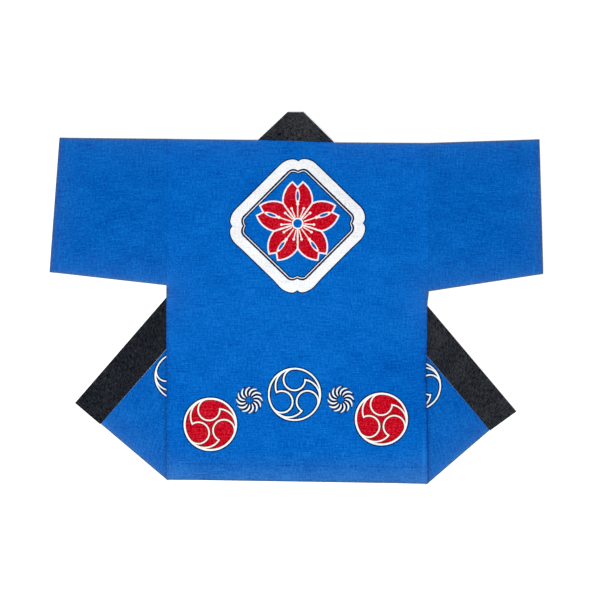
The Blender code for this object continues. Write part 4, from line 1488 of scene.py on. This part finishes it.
def band_half(lay):
    """One half of the collar band, from the middle of the neck to the hem of the front: its middle, its
    threads and the distances of its columns from its seam. Its rows lie across the band."""
    band = BandCut(lay)
    gap = SEAM / 2
    neck_middle = np.array([0.0, (left.neck[1] + right.neck[1]) / 2])
    neck_line = [lay.neck + np.array([0, 2 * SEAM]), neck_middle + np.array([0, SEAM])]
    top_line = [lay.collar_top, np.array([0.0, lay.collar_top[1]])]
    foot_line = moved(lay.band_foot, lay.seam_foot, -BAND_OVER, lay.seam_side)
    seam_hidden = moved(lay.neck, lay.turn_seam, gap, lay.collar_top)
    seam_out = moved(lay.seam_foot, lay.seam_side, gap, lay.band_foot)
    free_hidden, free_out = [lay.collar_top, lay.turn_free], [lay.band_foot, lay.band_side]
    edges = [
        band.edge(neck_line, seam_hidden, seam_out, foot_line),
        band.edge(top_line, free_hidden, free_out, foot_line),
    ]
    rows = []
    for k, step in enumerate(BAND_RUNS):
        run = max(np.linalg.norm(edge[k + 1] - edge[k]) for edge in edges)
        rows.append(k + np.arange(0, 1, min(1.0, step / run)))
    rows = np.append(np.concatenate(rows), float(len(BAND_RUNS)))
    across = marks(BAND_WIDTH, BAND_STEP, (0.0, *AT_BAND_EDGE), (BAND_WIDTH, *AT_BAND_EDGE)) / BAND_WIDTH
    corners = range(len(BAND_RUNS) + 1)
    ends = [np.stack([np.interp(rows, corners, values) for values in edge.T], axis=-1) for edge in edges]
    cut = ends[0][:, None] + across[None, :, None] * (ends[1] - ends[0])[:, None]
    travel = np.linalg.norm(np.diff(cut.mean(axis=1), axis=0), axis=-1)
    along = np.concatenate([[0], np.cumsum(travel)])[:, None]
    threads = np.stack([along * lay.sign + 0 * across, across * BAND_WIDTH + 0 * along], axis=-1)
    return band.surface(cut), threads, across * BAND_WIDTH


def make_collar(material, thread):
    """The collar: one band from hem to hem, its halves joined in the row at the middle of the back neck,
    with stitches along both its edges on both skins."""
    left_middle, left_threads, distances = band_half(left)
    right_middle, right_threads, _ = band_half(right)
    middle = np.concatenate([left_middle[:0:-1], right_middle])
    threads = np.concatenate([left_threads[:0:-1], right_threads])
    piece = shell("collar_band", middle, BAND, threads, [material], BAND_ROUND)
    thickness = np.full(middle.shape[:2], BAND)
    crossed = middle.transpose(1, 0, 2), thickness.T, distances
    lines = []
    for inset in (STITCH_INSET, BAND_WIDTH - FREE_INSET):
        lines += [row_at(*crossed, inset, side=side) for side in (1, -1)]
    sewn = stitches("collar_stitches", lines, thread)
    flat = (BAND_WIDTH, float(np.ptp(threads[..., 0])))
    declare(piece, sewn, middle, flat, "collar")


body = cotton("dyed_cotton", BODY_BLUE, seam_shade_painted=True, hem_shown=True)
crest_cloth = cotton("dyed_cotton_crest", BODY_BLUE, crest_print)
border_cloth = cotton("dyed_cotton_border", BODY_BLUE, border_print, seam_shade_painted=True, hem_shown=True)
flap_cloth = cotton("dyed_cotton_flap", FLAP_BLUE, flap_print, seam_shade_painted=True)
sleeve_cloth = cotton("dyed_cotton_sleeve", SHADED_SLEEVE_BLUE, cuff=True)
wrong_side = cotton("dyed_cotton_wrong_side", WRONG_BLUE)
band_cloth = ribbed_cotton("ribbed_black_cotton", BLACK)
blue_thread = thread_finish("blue_thread", THREAD_BLUE, PALER)
black_thread = thread_finish("black_thread", BLACK, PALE_BLACK)

make_back([body, crest_cloth, border_cloth, wrong_side], blue_thread)
for side_name, lay in sides.items():
    make_front(side_name, lay, [flap_cloth, wrong_side], blue_thread)
    make_sleeve(side_name, lay, [sleeve_cloth, wrong_side], blue_thread)
make_collar(band_cloth, black_thread)


# ---- stage ----
def make_floor():
    """A large flat sheet just under the coat."""
    half, level = 6.0, -0.0002
    corners = [(-half, -half, level), (half, -half, level), (half, half, level), (-half, half, level)]
    mesh = bpy.data.meshes.new("floor")
    mesh.from_pydata(corners, [], [(0, 1, 2, 3)])
    mesh.materials.append(floor_finish())
    placed("floor", mesh)


def make_light(name, place, size, power):
    """A square soft box that faces the middle of the coat."""
    data = bpy.data.lights.new(name, "AREA")
    data.shape = "SQUARE"
    data.size = size
    data.energy = power
    light = placed(name, data)
    light.location = place
    light.rotation_euler = (-Vector(place)).to_track_quat("-Z", "Y").to_euler()


def make_camera():
    """Straight above the coat, with a frame 1.44 m wide on the table."""
    data = bpy.data.cameras.new("camera")
    data.sensor_width = 36.0
    data.lens = 100.0
    frame_width, aim = 1.44, (0.0088, -0.0052)
    camera = placed("camera", data)
    camera.location = (*aim, frame_width * data.lens / data.sensor_width)
    bpy.context.scene.camera = camera


def make_world():
    """Even white light from all round."""
    world = bpy.data.worlds.new("studio")
    world.use_nodes = True
    sky = world.node_tree.nodes["Background"]
    sky.inputs["Color"].default_value = PURE_WHITE
    sky.inputs["Strength"].default_value = SKY_LIGHT
    bpy.context.scene.world = world


make_floor()
make_world()
make_light("key", (-2.0, -3.8, 5.0), size=2.6, power=312.0)
make_light("fill", (2.2, 3.8, 5.0), size=3.2, power=116.0)
make_camera()
bpy.context.scene.view_settings.view_transform = "Standard"
